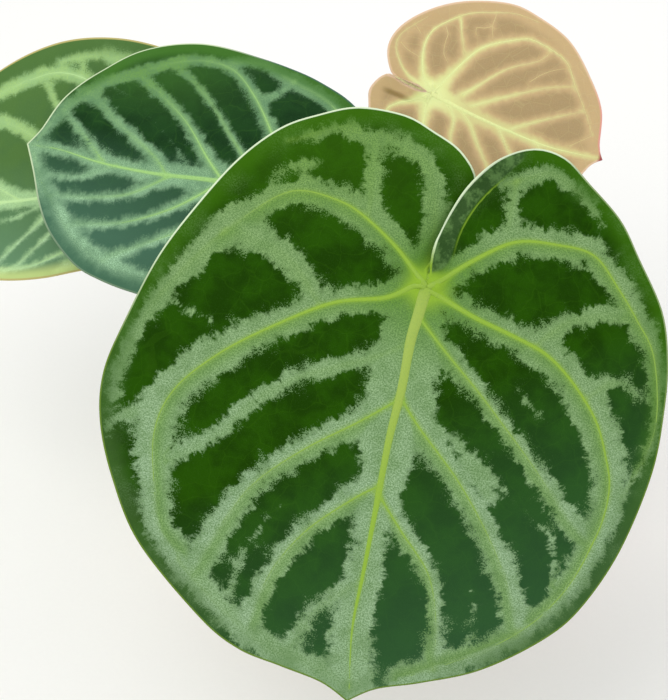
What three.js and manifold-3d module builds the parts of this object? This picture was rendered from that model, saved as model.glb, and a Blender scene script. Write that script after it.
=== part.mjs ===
// A potted anthurium with velvety heart-shaped leaves: three grown blades and one young blade,
// each on its own stalk, springing from a short crown that stands in a plain pot of potting mix.
// Millimetres, +Z up. The origin is the centre of the pot's flat base, and the large front leaf
// hangs towards -Y.
import * as THREE from "three";
import { mergeVertices } from "three/addons/utils/BufferGeometryUtils.js";
import Module from "manifold-3d";

const wasm = await Module();
wasm.setup();
const { smoothstep, lerp, degToRad } = THREE.MathUtils;

// Pot, potting mix and crown
const POT_HEIGHT = 105;
const POT_RIM_RADIUS = 60;
const POT_FOOT_RADIUS = 43;
const POT_WALL = 4;
const POT_FLOOR = 5;
const POT_RIM_BAND = 17;
const POT_RIM_STEP = 2.6;
const POT_EDGE = 1.2;
const POT_SIDES = 36;
const DRAIN_HOLE_RADIUS = 4;
const DRAIN_HOLE_CIRCLE = 22;
const DRAIN_HOLES = 4;
const DRAIN_HOLE_SIDES = 12;
const SOIL_TOP = 92;
const SOIL_MOUND = 3;
const SOIL_ROUGHNESS = 0.8;
const SOIL_RINGS = [0.8, 0.58, 0.36, 0.16, 0];
const CROWN_RADIUS = 9;
const CROWN_FOOT = 62;
const CROWN_TOP = 109;
const CROWN_BANDS = 13;
const CROWN_SCAR_RISE = 0.7;
const CROWN_FOOT_TAPER = 0.25;
const CROWN_TOP_TAPER = 0.45;
const CROWN_SIDES = 16;
const CLEARANCE = 0.3;
const SLIVER = 0.03;

// Leaf sections
const BLADE_THICKNESS = 0.9;
const MIDRIB_WIDTH = 4.6;
const RIB_END_WIDTH = 1;
const RIB_RISE = 0.6;
const BOTH_FACES_WIDTH = 2.6;
const RIB_DEPTH = 2;
const STALK_RADIUS = 2.4;
const STALK_FOOT_RADIUS = 3.6;
const STALK_FLARE_LENGTH = 14;
const KNUCKLE_RADIUS = 3.3;
const KNUCKLE_LENGTH = 17;
const KNUCKLE_SWELL_LENGTH = 6;
const STALK_SIDES = 8;
const STALK_STATIONS = [0, 0.06, 0.13, 0.22, 0.33, 0.46, 0.6, 0.74, 0.88];
const KNUCKLE_STATIONS = [0, 0.3, 0.6, 0.85, 1];
const STALK_SIDEWAYS = new THREE.Vector3(0.31, 0.17, 0.94);

// How a blade's droop, dimple, folds and rim waves spread over it
const TIP_DROOP_REACH = 110;
const LOBE_DROOP_REACH = 85;
const DIMPLE_RADIUS = 16;
const FOLD_SHARPNESS = 1.3;
const RIM_WAVE_SHARPNESS = 6;

// Small knobs on each side of the notch: [across, along, radius] as shares of the midrib's width
const KNOBS = [[-0.4, 0, 0.42], [0.5, 0, 0.36]];

// Each leaf has its own frame: x across, y from the tip towards the lobes, z out of the upper face,
// with the junction of stalk and blade at zero. A row of an outline is [x, y], and a third number
// turns the lines of growth near the junction, in degrees. An outline starts at the tip, goes up the
// -x side to the floor of the notch and comes down the +x side. A rib is [width, [x, y], ...].
const LARGE = {
  junction: [6.5, -132.5, 236.4],
  tipDirection: [-0.186, -0.662, -0.726],
  normal: [0.02, -0.741, 0.671],
  minusSide: [
    [0, -144], [-10, -139], [-25, -136], [-40, -133], [-55, -125], [-80, -104], [-93, -84], [-101, -65],
    [-103, -48], [-99, -29], [-92, -6], [-82, 14], [-71, 32, 5], [-59, 45, 12], [-47, 52, 18],
    [-34, 57, 23], [-18, 57, 29], [-7, 53, 33], [3, 48, 38], [10, 39, 43], [8, 28, 41], [4.5, 18, 36],
    [1, 11, 24], [-1.5, 6],
  ],
  plusSide: [
    [-0.8, 3.4], [0.6, 4.6], [0, 8], [0, 15], [3, 26], [8, 37], [17, 48], [28, 54], [39, 53], [49, 46],
    [62, 36], [71, 24], [82, 8], [87, -8], [89, -25], [89, -48], [83, -76], [73, -98], [62, -111],
    [43, -125], [24, -133], [9, -138], [0, -144],
  ],
  ribs: [
    [MIDRIB_WIDTH, [0, 0], [-1, -10], [-2, -22], [-2, -36], [-3, -53], [-3, -74], [-3, -100], [-3, -119],
      [0, -139]],
    [3.4, [0, 0], [-13, -6], [-30, -11], [-48, -22], [-65, -35], [-78, -50], [-82, -66], [-78, -86],
      [-66, -104]],
    [3.4, [0.5, -1], [18, -7], [33, -11], [45, -15], [56, -23], [66, -34], [73, -47], [76, -64], [70, -88],
      [60, -103], [50, -113]],
    [3, [-1, -1], [-13, 12], [-27, 21], [-40, 25], [-55, 22], [-65, 13]],
    [3, [1, -1], [14, 12], [27, 21], [41, 23], [55, 22], [66, 12], [77, -2], [86, -24]],
    [2.4, [-2, 0], [-5, 11], [-3, 22], [-5, 35], [-9, 43]],
    [1.8, [-3, -24], [-25, -33], [-42, -39], [-55, -52], [-66, -68]],
    [1.8, [0, -13], [11, -21], [23, -31], [33, -40], [47, -53], [61, -67], [69, -75]],
    [2.2, [-3, -41], [-14, -49], [-31, -62], [-45, -76], [-53, -91], [-58, -106]],
    [2.2, [-2, -39], [6, -47], [23, -63], [37, -80], [47, -96], [51, -107]],
    [2, [-3, -70], [-11, -75], [-25, -89], [-34, -105], [-38, -120]],
    [2, [-3, -74], [7, -83], [19, -96], [25, -113], [26, -120]],
    [1.6, [-3, -102], [-10, -108], [-17, -115], [-23, -126]],
  ],
  crossDroop: 9,
  plusDroop: 5,
  tipDroop: 14,
  lobeDroop: 5,
  halfWidth: 95,
  droopFrom: -30,
  dimple: 2.4,
  ball: 4.4,
  wave: 0.9,
  waves: 7,
  folds: [
    {
      side: 1,
      edge: (y) => 0.0145 * Math.max(y - 13, 0) ** 2,
      lift: 6.5, width: 7.5, from: 3, full: 16, fade: 40, end: 56,
    },
    { side: -1, edge: (y) => 1 - 0.3 * y, lift: -2.5, width: 6, from: 4, full: 14, fade: 34, end: 50 },
  ],
  rings: [0.12, 0.34, 0.6, 0.84, 1],
  spacing: 12.5,
};

const LEFT = {
  junction: [-44.4, -28.4, 204.9],
  tipDirection: [-0.939, 0.344, -0.024],
  normal: [-0.17, -0.4, 0.9],
  minusSide: [
    [0, -116], [-8, -112], [-25, -108], [-41, -99], [-56, -85], [-63, -61], [-61, -33], [-57, -13],
    [-51, 2], [-45, 13], [-36, 24], [-24, 31], [-12, 32], [-4, 25], [-2, 14], [-1.5, 6],
  ],
  plusSide: [
    [0, 3.4], [2, 6], [2.5, 14], [5, 25], [12, 32], [24, 31], [36, 24], [46, 12], [52, -4], [56, -25],
    [55, -46], [53, -62], [49, -75], [38, -90], [26, -100], [11, -109], [0, -116],
  ],
  ribs: [
    [3.4, [0, 0], [2, -27], [4, -58], [3, -81], [0, -101], [0, -112]],
    [2.8, [-1, 0], [-14, -6], [-28, -17], [-42, -29], [-52, -43], [-54, -62], [-46, -78]],
    [2.8, [1, 0], [15, -7], [30, -18], [42, -33], [48, -50], [45, -68]],
    [2.2, [-1, -1], [-14, 12], [-30, 14], [-45, 4]],
    [2.2, [1, -1], [14, 12], [28, 14], [41, 4]],
    [1.8, [1, -14], [-11, -22], [-24, -34], [-36, -48], [-46, -61]],
    [2, [2, -27], [-7, -36], [-23, -52], [-37, -72]],
    [2, [2, -27], [18, -43], [28, -62], [32, -83]],
    [1.8, [4, -50], [-4, -59], [-16, -79], [-26, -93]],
    [1.8, [4, -50], [15, -63], [20, -82]],
    [1.6, [2, -82], [-7, -91], [-17, -104]],
  ],
  crossDroop: 6,
  plusDroop: 0,
  tipDroop: 6,
  lobeDroop: 3,
  halfWidth: 60,
  droopFrom: -20,
  dimple: 1.5,
  ball: 3.7,
  wave: 1,
  waves: 6,
  folds: [],
  rings: [0.17, 0.48, 0.78, 1],
  spacing: 13,
};

const FAR_LEFT = {
  junction: [-102.5, 11.4, 182.3],
  tipDirection: [-0.979, 0.113, -0.168],
  normal: [-0.2, -0.378, 0.904],
  minusSide: [
    [0, -121], [-8, -117], [-23, -109], [-41, -97], [-58, -73], [-66, -46], [-66, -18], [-60, 5],
    [-52, 18], [-40, 28], [-26, 33], [-13, 31], [-5, 24], [-2, 14], [-1.5, 6],
  ],
  plusSide: [
    [0, 3.4], [2, 6], [2.5, 14], [6, 24], [14, 29], [26, 27], [36, 18], [42, 2], [45, -24], [48, -41],
    [48, -57], [44, -76], [33, -92], [20, -106], [8, -116], [0, -121],
  ],
  ribs: [
    [3.4, [0, 0], [3, -20], [5, -48], [4, -80], [0, -114]],
    [2.8, [-1, 0], [-16, -8], [-32, -22], [-46, -42], [-50, -66], [-40, -88]],
    [2.8, [1, 0], [14, -8], [28, -22], [40, -42], [43, -58], [36, -80]],
    [2.2, [-1, -1], [-16, 13], [-34, 14], [-50, 0]],
    [2.2, [1, -1], [13, 12], [27, 11], [37, -4]],
    [2, [4, -28], [-10, -42], [-29, -61], [-38, -76]],
    [2, [4, -34], [15, -47], [28, -64], [34, -76]],
    [1.8, [4, -62], [-8, -76], [-20, -94]],
    [1.8, [4, -66], [14, -80], [20, -94]],
  ],
  crossDroop: -9,
  plusDroop: 0,
  tipDroop: 8,
  lobeDroop: 3,
  halfWidth: 60,
  droopFrom: -20,
  dimple: 0,
  ball: 3.7,
  wave: 1,
  waves: 5,
  folds: [],
  rings: [0.17, 0.48, 0.78, 1],
  spacing: 13,
};

const YOUNG = {
  junction: [14.6, 8.7, 225.7],
  tipDirection: [0.933, -0.157, -0.325],
  normal: [0.1, -0.752, 0.652],
  minusSide: [
    [0, -75], [-4, -71], [-13, -67], [-25, -59], [-36, -47], [-42, -33], [-44, -18], [-40, -3],
    [-33, 9], [-25, 17], [-14, 22], [-7, 24], [0, 20], [-0.8, 13], [-1.2, 7],
  ],
  plusSide: [
    [0, 2.6], [0.9, 6], [0.6, 12], [2, 18], [11, 23], [21, 21], [32, 12], [41, -1], [47, -18],
    [46, -31], [41, -46], [30, -59], [19, -68], [5, -72], [0, -75],
  ],
  ribs: [
    [2.6, [0, 0], [-2, -17], [-3, -35], [-3, -53], [0, -71]],
    [1.8, [0, 0], [16, -6], [28, -15], [35, -29], [34, -46], [25, -56]],
    [1.8, [0, 0], [-12, -8], [-26, -20], [-33, -34], [-30, -50]],
    [1.6, [0, 0], [8, 7], [16, 9], [27, 6], [37, -4], [42, -16]],
    [1.6, [-1, 0], [-8, 11], [-18, 8], [-30, -2]],
    [1.4, [-2, -10], [4, -12], [18, -25], [29, -37]],
    [1.4, [-2, -17], [15, -36], [24, -52]],
    [1.4, [-3, -13], [-13, -24], [-22, -38]],
    [1.2, [-3, -34], [10, -50], [14, -58]],
    [1.2, [-3, -34], [-13, -46], [-17, -56]],
  ],
  crossDroop: 3.5,
  plusDroop: 0,
  tipDroop: 4,
  lobeDroop: 2,
  halfWidth: 42,
  droopFrom: -15,
  dimple: 1,
  ball: 2.8,
  wave: 0.7,
  waves: 5,
  folds: [
    { side: -1, edge: () => 1, lift: 2.4, width: 6, from: 2, full: 8, fade: 16, end: 26 },
  ],
  rings: [0.2, 0.6, 1],
  spacing: 10,
};

// Stalks: foot on the crown [angle in degrees, height], then two guide points on the way up
const STALKS = {
  petiole_large: {
    leaf: LARGE, girth: 1.15, foot: [-88, 101], guides: [[2, -34, 146], [5, -82, 196]],
  },
  petiole_left: {
    leaf: LEFT, girth: 0.95, foot: [212, 104], guides: [[-15, -12, 142], [-33, -24, 180]],
  },
  petiole_far_left: {
    leaf: FAR_LEFT, girth: 0.95, foot: [155, 100], guides: [[-28, 12, 134], [-70, 18, 158]],
  },
  petiole_young: {
    leaf: YOUNG, girth: 0.7, foot: [38, 104], guides: [[9, 11, 146], [12, 15, 190]],
  },
};

const MATERIALS = {
  greenBlade: { color: "#2c4f14", roughness: 0.62 },
  farBlade: { color: "#5d8460", roughness: 0.62 },
  youngBlade: { color: "#ac926b", roughness: 0.6 },
  stalk: { color: "#7f9a45", roughness: 0.5 },
  crown: { color: "#6b6a3e", roughness: 0.8 },
  soil: { color: "#3d2e22", roughness: 0.95 },
  clay: { color: "#b2714f", roughness: 0.9 },
};

// Solids and meshes
function solidOf(geometry) {
  const bare = geometry.clone();
  bare.deleteAttribute("normal");
  bare.deleteAttribute("uv");
  const merged = mergeVertices(bare, 1e-4);
  const vertProperties = new Float32Array(merged.attributes.position.array);
  const triVerts = new Uint32Array(merged.index.array);
  return new wasm.Manifold(new wasm.Mesh({ numProp: 3, vertProperties, triVerts }));
}

function geometryOf(solid) {
  const mesh = solid.getMesh();
  const geometry = new THREE.BufferGeometry();
  geometry.setAttribute("position", new THREE.BufferAttribute(mesh.vertProperties, 3));
  geometry.setIndex(new THREE.BufferAttribute(mesh.triVerts, 1));
  geometry.computeVertexNormals();
  return geometry;
}

function indexed(points, faces) {
  const geometry = new THREE.BufferGeometry();
  const places = points.flatMap((point) => point.toArray());
  geometry.setAttribute("position", new THREE.Float32BufferAttribute(places, 3));
  geometry.setIndex(faces.flat());
  return geometry;
}

function largestBody(solid) {
  return solid.decompose().sort((a, b) => b.volume() - a.volume())[0];
}

// A closed sweep through rings of equally many points, each clockwise when seen from the sweep's
// end, with the first and the last ring shut by a fan
function sweep(rings) {
  const sides = rings[0].length;
  const points = rings.flat();
  const faces = [];
  for (let i = 0; i + 1 < rings.length; i += 1) {
    for (let j = 0; j < sides; j += 1) {
      const a = i * sides + j;
      const b = i * sides + ((j + 1) % sides);
      faces.push([a, b + sides, b], [a, a + sides, b + sides]);
    }
  }
  for (const ring of [0, rings.length - 1]) {
    points.push(rings[ring].reduce((sum, p) => sum.add(p), new THREE.Vector3()).divideScalar(sides));
    for (let j = 0; j < sides; j += 1) {
      const a = ring * sides + j;
      const b = ring * sides + ((j + 1) % sides);
      faces.push(ring === 0 ? [points.length - 1, a, b] : [points.length - 1, b, a]);
    }
  }
  return indexed(points, faces);
}

// The smooth curve through rows of numbers, with about one sample per spacing
function smoothRows(rows, spacing) {
  const full = rows.map(([x, y, turn = 0]) => [x, y, turn]);
  const samples = [];
  for (let i = 0; i + 1 < full.length; i += 1) {
    const [from, to] = [full[i], full[i + 1]];
    const [before, after] = [full[i - 1] ?? from, full[i + 2] ?? to];
    const steps = Math.max(1, Math.round(Math.hypot(to[0] - from[0], to[1] - from[1]) / spacing));
    for (let k = 0; k < steps; k += 1) {
      const t = k / steps;
      samples.push(from.map((_, c) => 0.5 * (2 * from[c] + (to[c] - before[c]) * t
        + (2 * before[c] - 5 * from[c] + 4 * to[c] - after[c]) * t * t
        + (3 * from[c] - before[c] - 3 * to[c] + after[c]) * t * t * t)));
    }
  }
  samples.push(full.at(-1));
  return samples;
}

// Height of a leaf's middle surface: droop to all sides, a dimple at the junction, folded lobe edges
function leafHeight(leaf, x, y, side) {
  const below = Math.max(leaf.droopFrom - y, 0) / TIP_DROOP_REACH;
  const above = Math.max(y - leaf.droopFrom, 0) / LOBE_DROOP_REACH;
  const across = x / leaf.halfWidth;
  let z = -leaf.crossDroop * across ** 2 - leaf.plusDroop * Math.max(across, 0) ** 2;
  z -= leaf.tipDroop * below ** 2 + leaf.lobeDroop * above ** 2;
  z -= leaf.dimple * Math.exp(-(x * x + y * y) / DIMPLE_RADIUS ** 2);
  for (const fold of leaf.folds) {
    if (fold.side === side) {
      const inward = fold.side * x - fold.edge(y);
      const along = smoothstep(y, fold.from, fold.full) * (1 - smoothstep(y, fold.fade, fold.end));
      z += fold.lift * along * Math.max(1 - inward / fold.width, 0) ** FOLD_SHARPNESS;
    }
  }
  return z;
}

// Middle surface of a blade: lines of growth from the junction to the outline, crossed by rings
function bladeGrid(leaf) {
  const minus = smoothRows([...leaf.minusSide, leaf.plusSide[0]], leaf.spacing).slice(0, -1);
  const plus = smoothRows(leaf.plusSide, leaf.spacing).slice(0, -1);
  const outline = [...minus.map((row) => [...row, -1]), ...plus.map((row) => [...row, 1])];
  const points = [new THREE.Vector3(0, 0, leafHeight(leaf, 0, 0, 0))];
  for (const ring of leaf.rings) {
    outline.forEach(([x, y, turn, side], i) => {
      const angle = degToRad(turn * (1 - ring));
      const px = ring * (x * Math.cos(angle) - y * Math.sin(angle));
      const py = ring * (x * Math.sin(angle) + y * Math.cos(angle));
      const wave = Math.sin((2 * Math.PI * leaf.waves * i) / outline.length);
      const height = leafHeight(leaf, px, py, side) + leaf.wave * ring ** RIM_WAVE_SHARPNESS * wave;
      points.push(new THREE.Vector3(px, py, height));
    });
  }
  const rays = outline.length;
  const faces = [];
  for (let i = 0; i < rays; i += 1) {
    const next = (i + 1) % rays;
    faces.push([0, 1 + next, 1 + i]);
    for (let r = 0; r + 1 < leaf.rings.length; r += 1) {
      const [a, b] = [1 + r * rays + i, 1 + r * rays + next];
      faces.push([a, b, b + rays], [a, b + rays, a + rays]);
    }
  }
  return { points, faces, rays };
}

// The blade as a closed sheet, the middle surface moved out by half the thickness on both faces
function bladeSheet(leaf) {
  const { points, faces, rays } = bladeGrid(leaf);
  const middle = indexed(points, faces);
  middle.computeVertexNormals();
  const half = BLADE_THICKNESS / 2;
  const { normal } = middle.attributes;
  const normals = points.map((_, i) => new THREE.Vector3().fromBufferAttribute(normal, i));
  const top = points.map((p, i) => p.clone().addScaledVector(normals[i], half));
  const bottom = points.map((p, i) => p.clone().addScaledVector(normals[i], -half));
  const count = points.length;
  const rim = [];
  for (let i = 0; i < rays; i += 1) {
    const a = count - rays + i;
    const b = count - rays + ((i + 1) % rays);
    rim.push([a, b, count + b], [a, count + b, count + a]);
  }
  const under = faces.map(([a, b, c]) => [count + a, count + c, count + b]);
  return indexed([...top, ...bottom], [...faces, ...under, ...rim]);
}

// A rib stands out below the blade and tapers to its end, and a main rib shows on the upper face too
function ribSweep(leaf, [width, ...rows]) {
  const route = rows.map(([x, y]) => new THREE.Vector3(x, y, leafHeight(leaf, x, y, 0)));
  const up = new THREE.Vector3(0, 0, 1);
  const rings = route.map((centre, i) => {
    const along = route[Math.min(i + 1, route.length - 1)].clone().sub(route[Math.max(i - 1, 0)]);
    const across = along.cross(up).normalize();
    const left = 1 - i / (route.length - 1);
    const half = lerp(RIB_END_WIDTH, width, left) / 2;
    const face = BLADE_THICKNESS / 2;
    const rise = width < BOTH_FACES_WIDTH ? 0 : face + RIB_RISE * lerp(0.6, 1, left);
    const depth = face + RIB_DEPTH * (width / MIDRIB_WIDTH) * lerp(0.25, 1, left);
    const section = [[half, 0], [0, rise], [-half, 0], [0, -depth]];
    return section.map(([u, v]) => centre.clone().addScaledVector(across, u).addScaledVector(up, v));
  });
  return sweep(rings);
}

// The ball under the blade where stalk, midrib and side ribs meet
function junctionBall(leaf, grow) {
  const radius = leaf.ball + grow;
  const centre = leafHeight(leaf, 0, 0, 0) + BLADE_THICKNESS / 2 - leaf.ball;
  return new THREE.IcosahedronGeometry(radius, 2).translate(0, 0, centre);
}

function junctionKnobs(leaf) {
  const size = leaf.ribs[0][0];
  const height = leafHeight(leaf, 0, 0, 0);
  return KNOBS.map(([across, along, radius]) => (
    new THREE.IcosahedronGeometry(radius * size, 1).translate(across * size, along * size, height)
  ));
}

function bladeSolid(leaf) {
  const pieces = leaf.ribs.map((rib) => ribSweep(leaf, rib));
  pieces.push(...junctionKnobs(leaf), junctionBall(leaf, 0));
  const blade = pieces.reduce((solid, piece) => solid.add(solidOf(piece)), solidOf(bladeSheet(leaf)));
  return largestBody(blade.simplify(SLIVER));
}

// Where a leaf's frame stands in the pot's frame
function leafMatrix(leaf) {
  const back = new THREE.Vector3(...leaf.tipDirection).negate().normalize();
  const out = new THREE.Vector3(...leaf.normal);
  out.addScaledVector(back, -out.dot(back)).normalize();
  const matrix = new THREE.Matrix4().makeBasis(back.clone().cross(out), back, out);
  return matrix.setPosition(...leaf.junction);
}

// A stalk rises from its foot on the crown and thickens into a knuckle under the blade
function stalkSolid({ leaf, girth, foot: [angle, height], guides }) {
  const turn = degToRad(angle);
  const inside = CROWN_RADIUS / 2;
  const start = new THREE.Vector3(inside * Math.cos(turn), inside * Math.sin(turn), height);
  const matrix = leafMatrix(leaf);
  const end = new THREE.Vector3(0, 0, leafHeight(leaf, 0, 0, 0) - leaf.ball).applyMatrix4(matrix);
  const route = new THREE.CatmullRomCurve3([start, ...guides.map((g) => new THREE.Vector3(...g)), end]);
  const length = route.getLength();
  const knuckleFoot = length - KNUCKLE_LENGTH;
  const stations = STALK_STATIONS.map((u) => u * knuckleFoot);
  stations.push(...KNUCKLE_STATIONS.map((u) => knuckleFoot + u * KNUCKLE_LENGTH));
  const rings = stations.map((distance) => {
    const along = route.getTangentAt(distance / length);
    const first = along.clone().cross(STALK_SIDEWAYS).normalize();
    const second = first.clone().cross(along);
    const flare = (STALK_FOOT_RADIUS - STALK_RADIUS) * Math.exp(-distance / STALK_FLARE_LENGTH);
    const swell = smoothstep(distance, knuckleFoot, knuckleFoot + KNUCKLE_SWELL_LENGTH);
    const radius = girth * (STALK_RADIUS + flare + (KNUCKLE_RADIUS - STALK_RADIUS) * swell);
    const centre = route.getPointAt(distance / length);
    return Array.from({ length: STALK_SIDES }, (_, j) => {
      const around = (2 * Math.PI * j) / STALK_SIDES;
      return centre.clone()
        .addScaledVector(first, radius * Math.cos(around))
        .addScaledVector(second, radius * Math.sin(around));
    });
  });
  const seat = solidOf(junctionBall(leaf, CLEARANCE)).transform(matrix.elements);
  const stalk = solidOf(sweep(rings)).subtract(seat).subtract(crownSolid(CLEARANCE));
  return largestBody(stalk.simplify(SLIVER));
}

// Short crown with the raised rings of old leaf scars and a rounded top
function crownSolid(grow = 0) {
  const profile = [new THREE.Vector2(0, CROWN_FOOT - grow)];
  for (let i = 0; i <= CROWN_BANDS; i += 1) {
    const t = i / CROWN_BANDS;
    const scar = i % 2 === 0 ? 0 : CROWN_SCAR_RISE;
    const taper = 1 - CROWN_FOOT_TAPER * (1 - t) ** 2 - CROWN_TOP_TAPER * smoothstep(t, 0.8, 1.05);
    const height = lerp(CROWN_FOOT - grow, CROWN_TOP + grow, t);
    profile.push(new THREE.Vector2(CROWN_RADIUS * taper + scar + grow, height));
  }
  profile.push(new THREE.Vector2(0, CROWN_TOP + grow + 1));
  return solidOf(new THREE.LatheGeometry(profile, CROWN_SIDES).rotateX(Math.PI / 2));
}

function latheSolid(profile) {
  const points = profile.map(([radius, height]) => new THREE.Vector2(radius, height));
  return solidOf(new THREE.LatheGeometry(points, POT_SIDES).rotateX(Math.PI / 2));
}

// Inside radius of the pot at a height
function potInside(z) {
  const brim = POT_RIM_RADIUS - POT_WALL - POT_EDGE;
  return lerp(POT_FOOT_RADIUS - POT_WALL, brim, (z - POT_FLOOR) / (POT_HEIGHT - POT_FLOOR));
}

// Pot: tapered wall, raised rim band, flat base with drain holes away from its centre
function potSolid() {
  const band = POT_HEIGHT - POT_RIM_BAND;
  const wall = POT_RIM_RADIUS - POT_RIM_STEP;
  let pot = latheSolid([
    [0, 0],
    [POT_FOOT_RADIUS - POT_EDGE, 0],
    [POT_FOOT_RADIUS, POT_EDGE],
    [wall, band],
    [POT_RIM_RADIUS - POT_EDGE, band],
    [POT_RIM_RADIUS, band + POT_EDGE],
    [POT_RIM_RADIUS, POT_HEIGHT - POT_EDGE],
    [POT_RIM_RADIUS - POT_EDGE, POT_HEIGHT],
    [potInside(POT_HEIGHT) + POT_EDGE, POT_HEIGHT],
    [potInside(POT_HEIGHT - POT_EDGE), POT_HEIGHT - POT_EDGE],
    [potInside(POT_FLOOR), POT_FLOOR],
    [0, POT_FLOOR],
  ]);
  for (let i = 0; i < DRAIN_HOLES; i += 1) {
    const turn = (2 * Math.PI * (i + 0.5)) / DRAIN_HOLES;
    const radius = DRAIN_HOLE_RADIUS;
    const hole = new THREE.CylinderGeometry(radius, radius, 3 * POT_FLOOR, DRAIN_HOLE_SIDES);
    hole.rotateX(Math.PI / 2);
    hole.translate(DRAIN_HOLE_CIRCLE * Math.cos(turn), DRAIN_HOLE_CIRCLE * Math.sin(turn), 0);
    pot = pot.subtract(solidOf(hole));
  }
  return pot;
}

// Potting mix: fills the pot, mounds up unevenly to the crown and leaves a plain hole for it
function soilSolid() {
  const floor = POT_FLOOR + CLEARANCE;
  const edge = potInside(SOIL_TOP) - CLEARANCE;
  const profile = [[0, floor], [potInside(floor) - CLEARANCE, floor], [edge, SOIL_TOP]];
  for (const share of SOIL_RINGS) {
    profile.push([share * edge, SOIL_TOP + SOIL_MOUND * (1 - share ** 2)]);
  }
  return latheSolid(profile).warp((point) => {
    const [x, y, z] = point;
    const inner = 1 - smoothstep(Math.hypot(x, y), 0.85 * edge, 0.98 * edge);
    const lumps = Math.sin(0.31 * x + 1.3 * Math.sin(0.23 * y)) + Math.sin(0.37 * y);
    point[2] = z > SOIL_TOP ? z + SOIL_ROUGHNESS * inner * lumps : z;
  }).subtract(crownSolid(CLEARANCE));
}

function named(name, solid, look) {
  const material = new THREE.MeshStandardMaterial({ metalness: 0, ...look });
  const mesh = new THREE.Mesh(geometryOf(solid), material);
  mesh.name = name;
  return mesh;
}

// A blade keeps its own frame and is placed by its mesh
function bladeMesh(name, leaf, material) {
  const mesh = named(name, bladeSolid(leaf), material);
  leafMatrix(leaf).decompose(mesh.position, mesh.quaternion, mesh.scale);
  return mesh;
}

const plant = new THREE.Group();
plant.add(bladeMesh("blade_large", LARGE, MATERIALS.greenBlade));
plant.add(bladeMesh("blade_left", LEFT, MATERIALS.greenBlade));
plant.add(bladeMesh("blade_far_left", FAR_LEFT, MATERIALS.farBlade));
plant.add(bladeMesh("blade_young", YOUNG, MATERIALS.youngBlade));
for (const [name, stalk] of Object.entries(STALKS)) {
  plant.add(named(name, stalkSolid(stalk), MATERIALS.stalk));
}
plant.add(named("crown", crownSolid(), MATERIALS.crown));

const planter = new THREE.Group();
planter.add(named("soil", soilSolid(), MATERIALS.soil));
planter.add(named("pot", potSolid(), MATERIALS.clay));

const pottedPlant = new THREE.Group();
pottedPlant.add(planter, plant);

export default pottedPlant;
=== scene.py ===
import functools
import math

import bmesh
import bpy
import numpy as np
from mathutils import Matrix, Vector


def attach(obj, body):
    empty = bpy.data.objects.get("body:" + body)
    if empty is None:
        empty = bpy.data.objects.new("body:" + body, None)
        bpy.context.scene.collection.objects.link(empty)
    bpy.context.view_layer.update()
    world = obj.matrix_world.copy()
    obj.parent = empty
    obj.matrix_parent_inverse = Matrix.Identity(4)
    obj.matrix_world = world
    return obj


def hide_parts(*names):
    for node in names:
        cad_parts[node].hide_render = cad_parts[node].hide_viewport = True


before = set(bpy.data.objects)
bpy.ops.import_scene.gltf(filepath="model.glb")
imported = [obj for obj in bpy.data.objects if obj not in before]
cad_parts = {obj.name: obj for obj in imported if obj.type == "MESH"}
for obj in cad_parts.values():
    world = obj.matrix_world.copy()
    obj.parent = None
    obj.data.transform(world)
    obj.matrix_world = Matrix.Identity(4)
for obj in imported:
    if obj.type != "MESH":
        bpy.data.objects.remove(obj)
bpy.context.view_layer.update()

bl_info = {
    "name": "Potted anthurium",
    "version": (1, 0, 0),
    "blender": (4, 5, 0),
    "location": "3D View > Sidebar > Plant",
    "description": "Builds a potted anthurium: blades, veins, stalks, crown, potting mix and clay pot",
    "category": "Add Mesh",
}

MM = 0.001

# Camera of the photograph's view, which stands in front of the plant and looks down on it: place in
# metres, how many degrees it looks down, and lens in mm
CAMERA_PLACE = (-0.025, -0.6058, 0.6057)
CAMERA_ELEVATION = 40
CAMERA_LENS = 91

# Soft studio lights: name, place, size in metres, power in watts and colour, all aimed at one point,
# and the strength of the pale room round them
LIGHTS = [
    ("key", (-0.55, -0.55, 1.15), 0.9, 7.0, (1.0, 0.985, 0.95)),
    ("fill", (0.75, -0.65, 0.75), 1.1, 2.6, (0.93, 0.97, 1.0)),
    ("rear", (0.1, 0.9, 0.9), 1.0, 3.2, (1.0, 1.0, 1.0)),
]
LIGHT_AIM = (0, 0, 0.12)
ROOM_LIGHT = 0.72

# How a blade's droop, dimple, folds and rim waves spread over it: reaches in mm, sharpness as powers
TIP_DROOP_REACH = 110
LOBE_DROOP_REACH = 85
DIMPLE_RADIUS = 16
FOLD_SHARPNESS = 1.3
RIM_WAVE_SHARPNESS = 6

# The swell between the veins and the two small knobs beside the junction, in mm at scale 1
SWELL_MARGIN = 9
KNOB_HEIGHT = 1.1
KNOB_RADIUS = 2.1
KNOB_PLACES = ((-2.2, 1.5), (3.2, 1))

# The part of a size that a small leaf has whatever its scale
GROOVE_KEPT = 0.35
SWELL_KEPT = 0.4
BEAD_KEPT = 0.5
RISE_KEPT = 0.35

# Silver bands, in mm: how gently two of them flow together, how soon beside a vein its greener side
# sets in, how much further off a vein of the other lobe counts, the heights of y between which the
# lobes part, and the range of the edge that is summed
BAND_BLEND = 1.1
SIDE_BLEND = 1.4
FAR_SIDE = 60
LOBES_PART = (-4, 3)
EDGE_RANGE = (-9, 60)

# How much of its pull and tint a vein has lost by its end, the tint's reach in mm as a share of the
# leaf's scale and a constant, the radius of the green hub, and the step between two veins' patterns
PULL_LOSS = 0.35
TINT_LOSS = 0.75
TINT_REACH = (1.1, 0.3)
HUB_RADIUS = 7.5
PATTERN_STEP = 37.0

# Sampling in mm: between the rays of a blade, the points of a route and the rings of a vein
RAY_SPACING = 1.5
ROUTE_SPACING = 3
RING_SPACING = 1.5

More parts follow.
